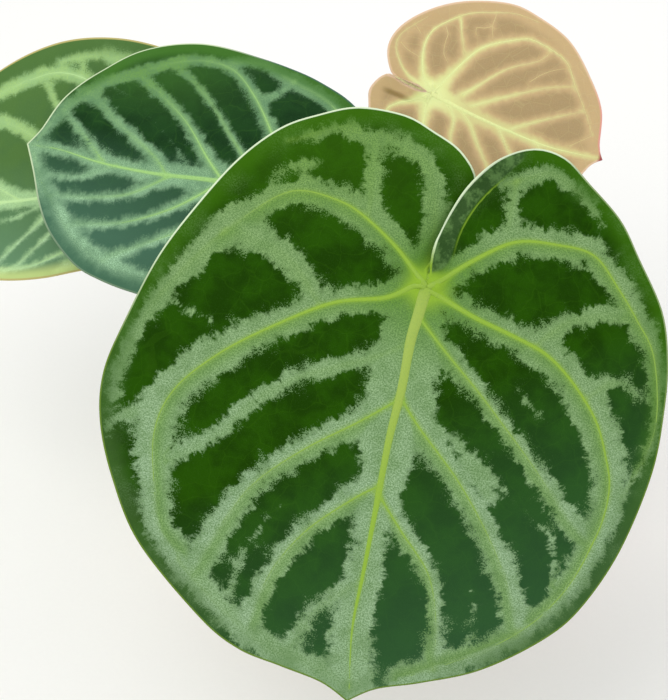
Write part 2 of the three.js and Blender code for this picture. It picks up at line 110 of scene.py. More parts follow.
# Shares of the way from the junction to the rim: two extra rows, the start of the rim's bead, and
# the rows whose normals are kept upright. The bead has this many turns from face to face
RIM_ROWS = (0.991, 0.996)
BEAD_FROM = 0.985
UPRIGHT_TO = 0.05
BEAD_TURNS = 8

# Veins: sides of a tube, the share of its depth lost by its end, the tone of its root, the mm that it
# takes to have its own, and how far it has turned to the blade's green by its end. Then how far the
# top of the ball under the junction lies below the blade's upper face, in mm
VEIN_SIDES = 12
DEPTH_LOSS = 0.65
ROOT_TONE = 0.3
ROOT_REACH = 9
TONE_GAIN = 0.7
BALL_SINK = 0.3

# Stalks: the mm below the blade where the knuckle starts and is full, the reach of the foot's flare,
# depth and width of the channel as a share of the radius and in radians, and fine waves of the
# radius as a share and in radians a mm. UPWARD is the rough direction that the channel faces.
KNUCKLE_REACH = (17, 11)
FLARE_REACH = 14
CHANNEL = (0.13, 0.5)
SKIN_WAVE = (0.012, 0.9)
KNUCKLE_WAVE = (0.03, 1.7)
UPWARD = (0.31, 0.17, 0.94)

# Crown, in mm: its radius, the heights of its foot and of the edge and middle of its top, and the
# height and number of the ridges of its leaf scars
CROWN_RADIUS = 9
CROWN_FOOT = 62
CROWN_EDGE = 109
CROWN_TOP = 110
SCAR_RIDGE = 0.7
SCAR_RINGS = 6.5

# Pot, in mm: outer radii of its foot, its neck and its rim, the heights of its floor, of the step
# under the rim and of its top, the inner radii at floor and top, and the radius of the drain holes,
# how far they stand from the axis, and their number
POT_FOOT = 43
POT_NECK = 57.4
POT_RIM = 60
POT_FLOOR = 5
POT_STEP = 88
POT_TOP = 105
POT_INSIDE = (39, 54.8)
DRAIN_RADIUS = 4
DRAIN_RING = 22
DRAINS = 4

# Potting mix, in mm: heights of its foot and edge, its rise to the middle, its lumps and crumbs, its
# gap to the pot, and where its loose pieces lie, clear of the crown and the pot
MIX_FOOT = 5.3
MIX_EDGE = 92
MIX_MOUND = 3
MIX_LUMPS = 0.8
MIX_CRUMBS = 0.25
MIX_GAP = 0.3
CROWN_CLEAR = 11.5
POT_CLEAR = 3.4

# What each kind of vein is like: half widths at its base and end, rise above and depth below the
# middle of the blade, all in mm for the large leaf, then the pull that sinks the blade along it, the
# yellow-green tint of the blade beside it, how much greener its lower side is with painted shade,
# and its tone, from the midrib's pale yellow-green at 0 to the green of the small veins at 1
VEIN_KINDS = {
    "midrib": {"widths": (2.4, 1.8, 1.4, 1.05, 0.75, 0.2), "rise": (0.75, 0.3), "depth": 2.1,
               "pull": 1, "tint": 0.8, "olive": 0, "tone": 0.0},
    "primary": {"widths": (1.1, 0.66, 0.46, 0.34, 0.26), "rise": (0.55, 0.25), "depth": 1.5,
                "pull": 1, "tint": 0.6, "olive": 1, "tone": 0.42},
    "secondary": {"widths": (0.65, 0.48, 0.38, 0.28), "rise": (0.38, 0.26), "depth": 1.1,
                  "pull": 0.85, "tint": 0.5, "olive": 0.6, "tone": 0.62},
    "minor": {"widths": (0.6, 0.4, 0.25), "rise": (0.1, 0.1), "depth": 0.7,
              "pull": 0.5, "tint": 0.2, "olive": 0.12, "tone": 0.75},
    "faint": {"widths": (0.4, 0.25), "rise": (0.1, 0.1), "depth": 0.5,
              "pull": 0.15, "tint": 0.05, "olive": 0, "tone": 0.95},
    "patch": {"widths": (), "rise": (0, 0), "depth": 0, "pull": 0, "tint": 0, "olive": 0, "tone": 1},
}

# A leaf's frame: x across, y from the tip towards the lobes, z out of the upper face, zero at the
# junction of stalk and blade, in mm. An outline row is [x, y] with an optional turn of the lines of
# growth in degrees. A vein is (kind, half widths of its silver band from base to end, points). The
# droops are the falls to the sides, further to the +x side, and from y = droop_from to the tip and
# to the lobes. Dimple and ball are a depth and a radius at the junction, wave and waves the height
# and the number of the rim's ripples, and rings the rows from the junction to the rim. Scale, vein
# width and least rise fit the relief to a smaller leaf. A fold lifts a lobe's edge on one side,
# within its width of an edge line, between the heights of y where it starts, is full, fades and ends.
LARGE = {
    "node": "blade_large", "slot": "leaf_green",
    "junction": (6.5, -132.5, 236.4),
    "tip_direction": (-0.186, -0.662, -0.726), "normal": (0.02, -0.741, 0.671),
    "minus_side": [
        [0, -144], [-10, -139], [-25, -136], [-40, -133], [-55, -125], [-80, -104], [-93, -84],
        [-101, -65], [-103, -48], [-99, -29], [-92, -6], [-82, 14], [-71, 32, 5], [-59, 45, 12],
        [-47, 52, 18], [-34, 57, 23], [-18, 57, 29], [-7, 53, 33], [3, 48, 38], [10, 39, 43],
        [8, 28, 41], [4.5, 18, 36], [1, 11, 24], [-1.5, 6],
    ],
    "plus_side": [
        [-0.8, 3.4], [0.6, 4.6], [0, 8], [0, 15], [3, 26], [8, 37], [17, 48], [28, 54], [39, 53],
        [49, 46], [62, 36], [71, 24], [82, 8], [87, -8], [89, -25], [89, -48], [83, -76],
        [73, -98], [62, -111], [43, -125], [24, -133], [9, -138], [0, -144],
    ],
    "cross_droop": 9, "plus_droop": 5, "tip_droop": 14, "lobe_droop": 5, "half_width": 95,
    "droop_from": -30, "dimple": 2.4, "ball": 4.4, "wave": 0.9, "waves": 7,
    "folds": [
        {"side": 1, "edge": lambda y: 0.0145 * np.maximum(y - 13, 0) ** 2,
         "lift": 6.5, "width": 7.5, "from": 3, "full": 16, "fade": 40, "end": 56},
        {"side": -1, "edge": lambda y: 1 - 0.3 * y,
         "lift": -2.5, "width": 6, "from": 4, "full": 14, "fade": 34, "end": 50},
    ],
    "rings": 74, "scale": 1.0, "vein_width": 1.0, "least_rise": 0.22,
    "veins": [
        ("midrib", (7, 10.5, 12, 10.5, 7.5, 6.2, 6.4, 7.8, 9),
         [(0, 0), (-1, -10), (-2, -19), (-2, -36), (-3, -53), (-3, -74), (-3, -100), (-3, -119),
          (0, -140)]),
        ("primary", (6, 5, 4.8, 7, 7, 6, 4.5),
         [(0, 0), (-4, 0), (-13, -6), (-30, -11), (-48, -22), (-65, -35), (-78, -50), (-82, -66),
          (-78, -86), (-74, -98), (-66, -105)]),
        ("primary", (5, 5.4, 5.6, 5, 4.4, 6),
         [(0, 0), (-3, 3), (-13, 12), (-27, 21), (-36, 24), (-47, 25), (-55, 22), (-65, 13), (-72, 6)]),
        ("minor", (4, 4.6, 4.2, 3.4, 3.4), [(0, 2), (-1, 9), (-1, 22), (-4, 35), (-8, 43), (-20, 47)]),
        ("minor", (3.8, 3, 2.8), [(-24, 22), (-25, 36), (-26, 45)]),
        ("minor", (0.6, 2, 2.4, 2.6, 2.8), [(-56, 41), (-47, 45), (-39, 49), (-34, 48), (-24, 48)]),
        ("minor", (3.6, 3.7, 4.2, 4.8, 6), [(-35, -12), (-45, -1), (-53, 4), (-61, 6), (-67, 10)]),
        ("minor", (5, 4.4, 3.4, 2.8, 2.2, 1.8),
         [(-71, 7), (-83, -9), (-91, -23), (-95, -35), (-98, -46), (-98, -56)]),
        ("patch", (1.8, 2.6, 3), [(-98, -66), (-94, -62), (-88, -59)]),
        ("faint", (1.4, 0.2, -0.4), [(-89, -17), (-78, -23), (-69, -24)]),
        ("minor", (4.5, 3.4, 2.8, 2.6, 2.5, 2.7, 3.4),
         [(-2, -19), (-10, -25), (-27, -33), (-39, -39), (-52, -50), (-59, -60), (-66, -66), (-78, -74)]),
        ("secondary", (8, 5.2, 4.2, 4.2, 5, 6),
         [(-2, -39), (-14, -49), (-31, -62), (-45, -76), (-53, -91), (-60, -109)]),
        ("secondary", (6, 4, 3.4, 3.5, 4.2),
         [(-3, -69), (-11, -75), (-25, -89), (-34, -105), (-38, -123)]),
        ("faint", (-1.4, -0.2, 0.7, 1.6), [(-35, -82), (-42, -94), (-46, -109), (-47, -116)]),
        ("minor", (4, 2.6, 2.5, 3.6), [(-3, -102), (-10, -108), (-17, -115), (-23, -129)]),
        ("minor", (5, 4.6, 4.6, 5, 6.5),
         [(-66, -107), (-49, -120), (-35, -129), (-22, -133), (-6, -138)]),
        ("primary", (4, 4.6, 5.2, 5.4, 5.2, 4.8, 5, 3.2, 2, 1.4, 1),
         [(0, 0), (4, 3), (14, 12), (27, 21), (41, 23), (55, 22), (66, 12), (74, 3), (82, -8), (87, -29),
          (85, -45), (80, -58)]),
        ("primary", (5, 4.8, 4.8, 5.4, 6.2, 6.8, 6.8, 6.4, 5.8, 5, 4.1, 4, 4.4, 4.8, 5.2),
         [(0, 0), (5, -2), (18, -7), (33, -11), (45, -15), (56, -23), (66, -34), (72, -46),
          (75, -55), (75, -66), (72.5, -77), (68, -90), (60, -103), (50, -113), (37, -122), (17, -133)]),
        ("minor", (6, 3.2, 2.8, 3.8), [(40, -13), (49, -3), (62, 3), (72, 6)]),
        ("minor", (6, 2, 1), [(61, -27), (70, -19), (79, -22)]),
        ("minor", (3, 3, 2.6, 1.8, 0.6), [(20, 40), (30, 45), (36, 47), (48, 41), (57, 33)]),
        ("minor", (2, 2.2, 4), [(24, 42), (24, 31), (24, 20)]),
        ("secondary", (3, 4, 3.3, 2.8, 3, 3.6, 4, 4),
         [(0, -11), (11, -21), (23, -31), (33, -40), (47, -53), (61, -67), (72, -76)]),
        ("secondary", (7.5, 6.2, 4.8, 4.5, 4.8, 4.8, 5.2),
         [(-2, -38), (6, -47), (23, -63), (37, -80), (47, -96), (53, -111)]),
        ("secondary", (4.4, 3.3, 2.9, 2.9, 3.5),
         [(-3, -72), (7, -83), (19, -96), (25, -113), (27, -129)]),
        ("faint", (1, -1.2, -1, 1.6, 0, 1),
         [(34, -60), (45, -67), (53, -73), (58, -76), (61, -86), (63, -98)]),
        ("faint", (-0.4, 0, -1.6), [(37, -28), (41, -32), (50, -38)]),
        ("faint", (-0.6, 0, 0.8), [(34, -98), (37, -105), (37, -114)]),
        ("patch", (1.2, 3.4, 4.6, 2.6), [(19, -50), (25, -55), (30, -60), (34, -65)]),
        ("patch", (1.4, 2, 1.4), [(-56, 30), (-52, 33), (-46, 35)]),
        ("patch", (2.4, 3.4, 2.6), [(3, 20), (7, 34), (4, 42)]),
    ],
}

LEFT = {
    "node": "blade_left", "slot": "leaf_green",
    "junction": (-44.4, -28.4, 204.9),
    "tip_direction": (-0.939, 0.344, -0.024), "normal": (-0.17, -0.4, 0.9),
    "minus_side": [
        [0, -116], [-8, -112], [-25, -108], [-41, -99], [-56, -85], [-63, -61], [-61, -33], [-57, -13],
        [-51, 2], [-45, 13], [-36, 24], [-24, 31], [-12, 32], [-4, 25], [-2, 14], [-1.5, 6],
    ],
    "plus_side": [
        [0, 3.4], [2, 6], [2.5, 14], [5, 25], [12, 32], [24, 31], [36, 24], [46, 12], [52, -4], [56, -25],
        [55, -46], [53, -62], [49, -75], [38, -90], [26, -100], [11, -109], [0, -116],
    ],
    "cross_droop": 6, "plus_droop": 0, "tip_droop": 6, "lobe_droop": 3, "half_width": 60,
    "droop_from": -20, "dimple": 1.5, "ball": 3.7, "wave": 1, "waves": 6,
    "folds": [], "rings": 56, "scale": 0.8, "vein_width": 0.7, "least_rise": 0.24,
    "veins": [
        ("midrib", (9, 7.5, 5, 4, 3, 2.6), [(0, 0), (2, -27), (4, -58), (3, -81), (0, -101), (0, -114)]),
        ("primary", (5, 3.6, 2.8, 2.8, 2.8, 2.6),
         [(0, 0), (-12, -6), (-24, -14), (-41, -28), (-53, -43), (-54, -62), (-47, -77)]),
        ("secondary", (2.4, 1.8, 1.4, 1.5, 2),
         [(1, -13), (-11, -22), (-19, -30), (-35, -46), (-47, -62)]),
        ("primary", (4.6, 3.2, 2.6, 2.5, 2.6, 3),
         [(2, -26), (-7, -36), (-23, -52), (-37, -72), (-42, -80)]),
        ("faint", (0.8, -1, -1.4, -0.6), [(0, -41), (-14, -57), (-27, -75), (-34, -88)]),
        ("secondary", (4.6, 3, 2.4, 2.5, 3), [(4, -50), (-4, -59), (-16, -79), (-26, -93), (-30, -100)]),
        ("secondary", (3.4, 2.2, 1.9, 2.2), [(2, -80), (-7, -91), (-19, -107)]),
        ("minor", (2, 2.8, 3.4, 3.6, 3.2, 2.8),
         [(-2, -112), (-17, -107), (-26, -102), (-35, -94), (-44, -82), (-54, -62)]),
        ("minor", (2.8, 2.6, 2.4, 2.4), [(-56, -44), (-58, -30), (-54, -21), (-48, -6)]),
        ("minor", (2.4, 1.8, 2.2), [(-53, -14), (-46, -17), (-38, -24)]),
        ("primary", (4.6, 3, 2.3, 2, 2.1, 2.6), [(2, -27), (5, -29), (18, -43), (28, -62), (33, -84)]),
        ("secondary", (4, 2.5, 1.9, 2), [(4, -49), (15, -63), (20, -82), (21, -97)]),
        ("minor", (3, 1.6, 1.4), [(3, -73), (11, -87), (12, -104)]),
        ("primary", (4.4, 3, 2.2, 2.4), [(0, 0), (12, -12), (28, -38), (39, -55), (45, -64)]),
        ("minor", (2.8, 3.6, 4.2, 4.2, 3.8, 3),
         [(3, -112), (16, -103), (25, -94), (40, -77), (47, -58), (49, -40)]),
        ("primary", (6, 4, 3.2, 3), [(0, 0), (-8, 10), (-20, 17), (-34, 14), (-45, 2), (-54, -20)]),
        ("primary", (6, 4, 3.2, 3), [(0, 0), (9, 11), (21, 17), (34, 12), (44, -4), (49, -40)]),
        ("minor", (1.6, 1.6), [(20, -4), (33, -12), (46, -20)]),
    ],
}

FAR_LEFT = {
    "node": "blade_far_left", "slot": "leaf_far",
    "junction": (-102.5, 11.4, 182.3),
    "tip_direction": (-0.979, 0.113, -0.168), "normal": (-0.2, -0.378, 0.904),
    "minus_side": [
        [0, -121], [-8, -117], [-23, -109], [-41, -97], [-58, -73], [-66, -46], [-66, -18], [-60, 5],
        [-52, 18], [-40, 28], [-26, 33], [-13, 31], [-5, 24], [-2, 14], [-1.5, 6],
    ],
    "plus_side": [
        [0, 3.4], [2, 6], [2.5, 14], [6, 24], [14, 29], [26, 27], [36, 18], [42, 2], [45, -24], [48, -41],
        [48, -57], [44, -76], [33, -92], [20, -106], [8, -116], [0, -121],
    ],
    "cross_droop": -9, "plus_droop": 0, "tip_droop": 8, "lobe_droop": 3, "half_width": 60,
    "droop_from": -20, "dimple": 0, "ball": 3.7, "wave": 1, "waves": 5,
    "folds": [], "rings": 56, "scale": 0.8, "vein_width": 0.7, "least_rise": 0.24,
    "veins": [
        ("midrib", (7, 5, 4, 3.4, 3, 3), [(0, 0), (3, -20), (5, -48), (5, -67), (3, -92), (0, -118)]),
        ("primary", (6, 4, 3.4, 3.4, 3.4, 3),
         [(0, 0), (-16, -9), (-34, -20), (-48, -29), (-54, -43), (-53, -56), (-48, -72), (-36, -92)]),
        ("secondary", (5, 3.4, 3.2, 3.4),
         [(4, -30), (-10, -43), (-22, -51), (-29, -59), (-34, -68), (-38, -80)]),
        ("minor", (1.8, 1.4, 1.6), [(-36, -40), (-40, -45), (-44, -47), (-50, -49)]),
        ("minor", (1.4, 1.4, 1.4), [(-51, -34), (-55, -33), (-59, -34)]),
        ("minor", (1.2, 1.8, 1.6), [(-59, -44), (-60, -31), (-60, -19), (-57, -7)]),
        ("secondary", (4, 3, 3), [(5, -58), (-6, -74), (-16, -90), (-20, -104)]),
        ("minor", (3, 3, 3), [(-36, -92), (-20, -106), (-4, -115)]),
        ("primary", (5, 2.4, 1.6, 1.2), [(0, 0), (12, -10), (26, -22), (36, -36), (42, -52), (40, -72)]),
        ("secondary", (3, 1.6, 1.2, 1), [(4, -36), (16, -46), (24, -52), (30, -57), (36, -61)]),
        ("secondary", (2.4, 1.4, 1, 0.8),
         [(4, -28), (14, -34), (25, -42), (33, -48), (39, -52), (43, -58)]),
        ("faint", (0.6, 0.8, 0.6), [(6, -44), (11, -51), (15, -60), (16, -70)]),
        ("minor", (1.6, 1.4, 1), [(30, -20), (40, -26), (45, -35)]),
        ("secondary", (3, 2, 1.6), [(5, -66), (14, -80), (20, -96)]),
        ("minor", (2, 2, 2), [(39, -72), (31, -88), (18, -102), (4, -114)]),
        ("primary", (6, 4, 3, 3), [(0, 0), (-8, 10), (-22, 17), (-38, 14), (-52, 0), (-58, -20)]),
        ("primary", (6, 4, 3, 3), [(0, 0), (9, 11), (20, 14), (30, 8), (37, -8), (41, -30)]),
    ],
}

YOUNG = {
    "node": "blade_young", "slot": "leaf_young",
    "junction": (14.6, 8.7, 225.7),
    "tip_direction": (0.933, -0.157, -0.325), "normal": (0.1, -0.752, 0.652),
    "minus_side": [
        [0, -75], [-4, -71], [-13, -67], [-25, -59], [-36, -47], [-42, -33], [-44, -18], [-40, -3],
        [-33, 9], [-25, 17], [-14, 22], [-7, 24], [0, 20], [-0.8, 13], [-1.2, 7],
    ],
    "plus_side": [
        [0, 2.6], [0.9, 6], [0.6, 12], [2, 18], [11, 23], [21, 21], [32, 12], [41, -1], [47, -18],
        [46, -31], [41, -46], [30, -59], [19, -68], [5, -72], [0, -75],
    ],
    "cross_droop": 3.5, "plus_droop": 0, "tip_droop": 4, "lobe_droop": 2, "half_width": 42,
    "droop_from": -15, "dimple": 1, "ball": 2.8, "wave": 0.7, "waves": 5,
    "folds": [
        {"side": -1, "edge": lambda y: 1 + 0 * y,
         "lift": 2.4, "width": 6, "from": 2, "full": 8, "fade": 16, "end": 26},
    ],
    "rings": 48, "scale": 0.55, "vein_width": 0.5, "least_rise": 0.36,
    "veins": [
        ("midrib", (4.6, 3.2, 2.4, 1.8, 1.4), [(0, 0), (-2, -17), (-3, -35), (-3, -53), (0, -73)]),
        ("primary", (3.6, 1.8, 1.2, 0.6, 0.3, 0.2),
         [(0, 0), (6, -3), (13, -6), (25, -13), (34, -26), (36, -33), (33, -47), (25, -54),
          (16, -62), (8, -68)]),
        ("primary", (2.8, 1.2, 0.5, 0, -0.2, -0.4),
         [(0, 0), (5, 5), (11, 8), (18, 9.5), (25, 8), (32, 2), (37, -4), (41, -13), (44, -22),
          (44, -32)]),
        ("secondary", (0.2, 0.4, 0.8), [(33, -1), (28, -3), (24, -5), (20, -7)]),
        ("secondary", (2.2, 0.8, 0.2, -0.2, -0.5),
         [(0, 1), (2, 8), (5, 14), (12, 20), (18, 20), (24, 16), (29, 12)]),
        ("faint", (-0.8, -0.6), [(15, 19), (13, 15), (12, 9)]),
        ("faint", (-1, -1), [(24, 16), (21, 12)]),
        ("secondary", (1.8, 0.5, 0.1, 0), [(4, -12), (9, -16), (20, -25), (29, -37), (34, -40)]),
        ("secondary", (2, 0.8, 0.4), [(1, -17), (9, -28), (19, -43), (24, -54)]),
        ("secondary", (1.6, 0.6, 0.2), [(-2, -35), (6, -46), (16, -61)]),
        ("faint", (-0.6, -1), [(0, -60), (5, -65), (8, -68)]),
        ("faint", (-1, -1.2, -1), [(28, 4), (25, 2), (22, 2), (17, 1), (14, -2)]),
        ("faint", (-1, -1, -1.2), [(41, -14), (38, -14), (35, -14), (30, -16)]),
        ("faint", (-1.2, -1.4), [(35, -14), (33, -11), (32, -8), (29, -9)]),
        ("faint", (-1.2, -1.4), [(19, -36), (24, -40), (28, -45), (30, -49)]),
        ("primary", (2.8, 1.2, 0.6, 0.4), [(0, 0), (-5, 6), (-9, 12), (-14, 15), (-24, 10), (-32, 0)]),
        ("primary", (2.8, 1.2, 0.8, 0.6),
         [(0, 0), (-8, 0), (-20, -4), (-31, -14), (-37, -28), (-34, -42), (-24, -54), (-10, -65)]),
        ("secondary", (1.8, 0.7, 0.5), [(-2, -8), (-6, -12), (-16, -14), (-26, -22), (-35, -30)]),
        ("secondary", (2, 1, 0.6), [(-2, -13), (-6, -19), (-12, -24), (-20, -32), (-31, -45)]),
        ("secondary", (1.6, 0.6, 0.3), [(-3, -30), (-7, -34), (-11, -38), (-18, -50), (-22, -56)]),
        ("secondary", (1.4, 0.6, 0.4), [(-3, -46), (-8, -54), (-12, -64)]),
    ],
}

LEAVES = [LARGE, LEFT, FAR_LEFT, YOUNG]

# Stalks: foot on the crown (angle in degrees, height), two guide points on the way up, and girth
STALKS = [
    {"node": "petiole_large", "leaf": LARGE, "girth": 1.15, "foot": (-88, 101),
     "guides": [(2, -34, 146), (5, -82, 196)]},
    {"node": "petiole_left", "leaf": LEFT, "girth": 0.95, "foot": (212, 104),
     "guides": [(-15, -12, 142), (-33, -24, 180)]},
    {"node": "petiole_far_left", "leaf": FAR_LEFT, "girth": 0.95, "foot": (155, 100),
     "guides": [(-28, 12, 134), (-70, 18, 158)]},
    {"node": "petiole_young", "leaf": YOUNG, "girth": 0.7, "foot": (38, 104),
     "guides": [(9, 11, 146), (12, 15, 190)]},
]


def linear(code, alpha=1.0):
    """Linear colour of an sRGB hex code: each channel c becomes c / 12.92 below 0.04045, and
    ((c + 0.055) / 1.055) to the power 2.4 above it."""
    channels = [int(code[i:i + 2], 16) / 255 for i in (1, 3, 5)]
    return (*(c / 12.92 if c <= 0.04045 else ((c + 0.055) / 1.055) ** 2.4 for c in channels), alpha)


def colour(name, text, code):
    """A colour property with its default from an sRGB hex code."""
    return bpy.props.FloatVectorProperty(
        name=name, description=text, default=linear(code), size=4, min=0, max=1, subtype="COLOR")


def length(name, text, millimetres):
    """A length property with its default from millimetres."""
    return bpy.props.FloatProperty(
        name=name, description=text, default=millimetres * MM, min=0, precision=5, unit="LENGTH")


class PlantSizes(bpy.types.PropertyGroup):
    """Sizes of the plant's soft surfaces"""

    thickness: length("Blade thickness", "Thickness of a blade between its veins", 0.55)
    bead: length("Rim bead", "Half thickness of the stiff bead along a blade's rim", 0.34)
    quilting: length("Quilting", "Height that a blade swells between its veins", 1.15)
    groove: length("Groove width", "How far from a vein a blade has risen to its full swell", 5.5)
    stalk: length("Stalk radius", "Radius of a stalk halfway up, before its girth", 2.4)
    stalk_foot: length("Stalk foot radius", "Radius of a stalk at its foot, before its girth", 3.6)
    knuckle: length("Knuckle radius", "Radius of the swollen top of a stalk, before its girth", 3.3)


class GreenLeafColours(bpy.types.PropertyGroup):
    """Colours of the velvety grown leaves"""

    dark: colour("Dark green", "Velvet between the silver bands", "#204801")
    deep: colour("Deep green", "Darkest velvet", "#173800")
    # Painted sheen: the bluish colour that the velvet takes towards the tip
    cool: colour("Cool green", "Velvet with a bluish bloom towards the tip", "#2f5434")
    warm: colour("Warm green", "Velvet that light shines through at the lobes", "#39680c")
    silver: colour("Silver", "Pale side of the bands", "#9cb994")
    thin: colour("Thin silver", "Bands where the green shows through", "#64874e")
    silver_high: colour("High silver", "Pale side of the bands near the lobes", "#8aa974")
    # Painted light shining through the bands of the lobes
    silver_backlit: colour("Warm silver", "Bands of the lobes", "#749a4a")
    silver_shade: colour("Silver shade", "Darker grain in the bands", "#466b34")
    # Painted glints: the sparkle of the silver's lightest grains
    glint: colour("Speck", "Lightest grains of the silver", "#b9cdb0")
    # Painted shade: the greener colour of one side of each band
    olive: colour("Olive", "Greener side of the bands", "#6b943a")
    hub: colour("Hub", "Green round the junction", "#5d8a2c")
    # Painted shade on the upturned edge of the lobe
    strip: colour("Strip", "Upturned edge of the lobe", "#34502a")
    verge: colour("Verge", "Grey-green margin beside the tip", "#40602e")
    rib: colour("Rib", "Yellow-green of the main veins", "#86aa34")
    rib_end: colour("Rib end", "Green of the veins near the rim", "#789b4c")
    midrib: colour("Midrib", "Pale yellow-green of the middle vein", "#95ad4c")
    # Pale rim: partly the margin's own paleness, partly a painted highlight along the upper-left edge
    rim: colour("Rim", "Stiff pale rim of the blade", "#cfdfbe")
    rim_low: colour("Lower rim", "Yellow-green rim near the tip", "#637f30")
    under: colour("Underside", "Matt lower face", "#6f8f52")
    under_vein: colour("Underside vein", "Veins on the lower face", "#a5b86c")


class FarLeafColours(bpy.types.PropertyGroup):
    """Colours of the left leaf and of the paler leaf behind it, pale partly from painted backlight"""

    left_dark: colour("Left dark", "Velvet of the left leaf", "#1b3f1a")
    left_deep: colour("Left deep", "Darkest velvet of the left leaf", "#143416")
    # Painted sheen on the left leaf, also the lower colour of that leaf's rim
    left_cool: colour("Left bloom", "Bluish bloom on the left leaf", "#426752")
    left_warm: colour("Left warm", "Light shining through the left leaf", "#437329")
    left_silver: colour("Left silver", "Low bands of the left leaf", "#a6cfa8")
    left_silver_high: colour("Left high silver", "High bands of the left leaf", "#7da474")
    left_silver_warm: colour("Left warm silver", "Bands that light shines through", "#6f9c45")
    left_shade: colour("Left silver shade", "Grain in the left leaf's bands", "#52795a")
    # Painted shade on one side of the left leaf's bands, also that leaf's hub colour and its veins' end
    # colour
    left_olive: colour("Left olive", "Greener side of the left leaf's bands", "#628c4c")
    left_verge: colour("Left verge", "Low margin of the left leaf", "#456c54")
    left_rib: colour("Left rib", "Veins of the left leaf", "#9bc878")
    # Rim of the left leaf: partly its own paleness, partly a painted highlight
    left_rim: colour("Left rim", "Rim of the left leaf", "#c6d8b0")
    far_dark: colour("Far dark", "Velvet of the far leaf", "#4e7338")
    far_deep: colour("Far deep", "Darkest velvet of the far leaf", "#4a6f3a")
    # Painted sheen on the far leaf
    far_cool: colour("Far bloom", "Bluish bloom on the far leaf", "#648c6a")
    far_silver: colour("Far silver", "Low bands of the far leaf", "#bde2b4")
    far_silver_high: colour("Far high silver", "High bands of the far leaf", "#a3c776")
    far_shade: colour("Far silver shade", "Grain in the far leaf's bands", "#87b07c")
    far_verge: colour("Far verge", "Yellowing low margin of the far leaf", "#d3e58c")
    far_rib: colour("Far rib", "Veins of the far leaf", "#bfe3a2")
    far_rim: colour("Far rim", "Dry rim of the far leaf", "#b9b070")


class YoungLeafColours(bpy.types.PropertyGroup):
    """Colours of the young leaf"""

    flesh: colour("Flesh", "Tan between the veins", "#a48e67")
    flesh_warm: colour("Warm flesh", "Lighter tan near the veins and the rim", "#c4a97e")
    glow: colour("Glow", "Soft glow beside the veins", "#d3cf90")
    vein: colour("Vein", "Pale yellow-green veins", "#e1e8a2")
    vein_end: colour("Vein end", "Thin ends of the veins", "#d2c38b")
    rim: colour("Rim", "Pinkish rim", "#dcbc9f")
    tip_rim: colour("Tip rim", "Reddish rim beside the tip", "#dc938a")
    tip: colour("Tip", "Dark red point of the tip", "#8e3036")
    # Painted shade where the curled lobe folds
    crease_shade: colour("Crease", "Brown crease of the curled lobe", "#7a6634")
    under: colour("Underside", "Lower face of the young leaf", "#b79a76")


class StalkColours(bpy.types.PropertyGroup):
    """Colours of the stalks and the crown"""

    green: colour("Stalk green", "Middle of a stalk", "#7d9a46")
    pale: colour("Stalk top", "Knuckle under the blade", "#a3b85f")
    brown: colour("Stalk foot", "Foot of a stalk", "#7a6a3c")
    crown: colour("Crown", "Skin of the crown", "#6d6a3f")
    scar: colour("Scar", "Dry leaf scars on the crown", "#4a3a25")


class PotColours(bpy.types.PropertyGroup):
    """Colours of the pot, the potting mix and the floor"""

    clay: colour("Clay", "Fired clay", "#b9714c")
    clay_light: colour("Chalky clay", "Clay with a chalky bloom", "#cf9b7b")
    clay_dark: colour("Damp clay", "Clay that holds water", "#9a573a")
    peat: colour("Peat", "Fine dark part of the mix", "#2d2119")
    bark: colour("Bark", "Bark chips", "#6b472d")
    bark_dark: colour("Dark bark", "Weathered side of the bark chips", "#38261a")
    perlite: colour("Perlite", "White volcanic grains", "#e2dfd6")
    floor: colour("Floor", "Plain pale floor", "#f4f4f2")


def smooth_rows(rows, spacing):
    """Curve through the rows. Between rows p1 and p2 with neighbours p0 and p3 it is the uniform
    Catmull-Rom cubic, half of 2 p1 + (p2 - p0) t + (2 p0 - 5 p1 + 4 p2 - p3) t^2
    + (3 p1 - p0 - 3 p2 + p3) t^3, with a sample about every spacing."""
    full = np.array([[*row, 0][:3] for row in rows], float)
    before = np.vstack([full[:1], full[:-2]])
    after = np.vstack([full[2:], full[-1:]])
    parts = []
    for p0, p1, p2, p3 in zip(before, full[:-1], full[1:], after):
        steps = max(1, round(math.hypot(*(p2 - p1)[:2]) / spacing))
        t = np.arange(steps)[:, None] / steps
        parts.append(0.5 * (2 * p1 + (p2 - p0) * t + (2 * p0 - 5 * p1 + 4 * p2 - p3) * t ** 2
                            + (3 * p1 - p0 - 3 * p2 + p3) * t ** 3))
    return np.vstack([*parts, full[-1:]])


def smoothstep(value, low, high):
    """3 t^2 - 2 t^3, where t is value's share of the way from low to high, kept in 0 to 1."""
    t = np.clip((value - low) / (high - low), 0, 1)
    return t * t * (3 - 2 * t)


def nearest_on_route(x, y, route):
    """For each point the distance to a route of straight steps, the length along the route there,
    and the side, +1 left of the way it runs. On a step from a to b the nearest point is
    a + t (b - a), with t = (p - a).(b - a) / |b - a|^2 kept in 0 to 1."""
    a, step = route[:-1], np.diff(route, axis=0)
    run = np.hypot(*step.T)
    px, py = x[:, None] - a[:, 0], y[:, None] - a[:, 1]
    t = np.clip((px * step[:, 0] + py * step[:, 1]) / run ** 2, 0, 1)
    gap = np.hypot(px - t * step[:, 0], py - t * step[:, 1])
    best = gap.argmin(1)
    each = np.arange(len(x))
    along = np.concatenate([[0], np.cumsum(run)])[best] + t[each, best] * run[best]
    turn = step[best, 0] * py[each, best] - step[best, 1] * px[each, best]
    return gap[each, best], along, np.where(turn < 0, -1.0, 1.0), run.sum()


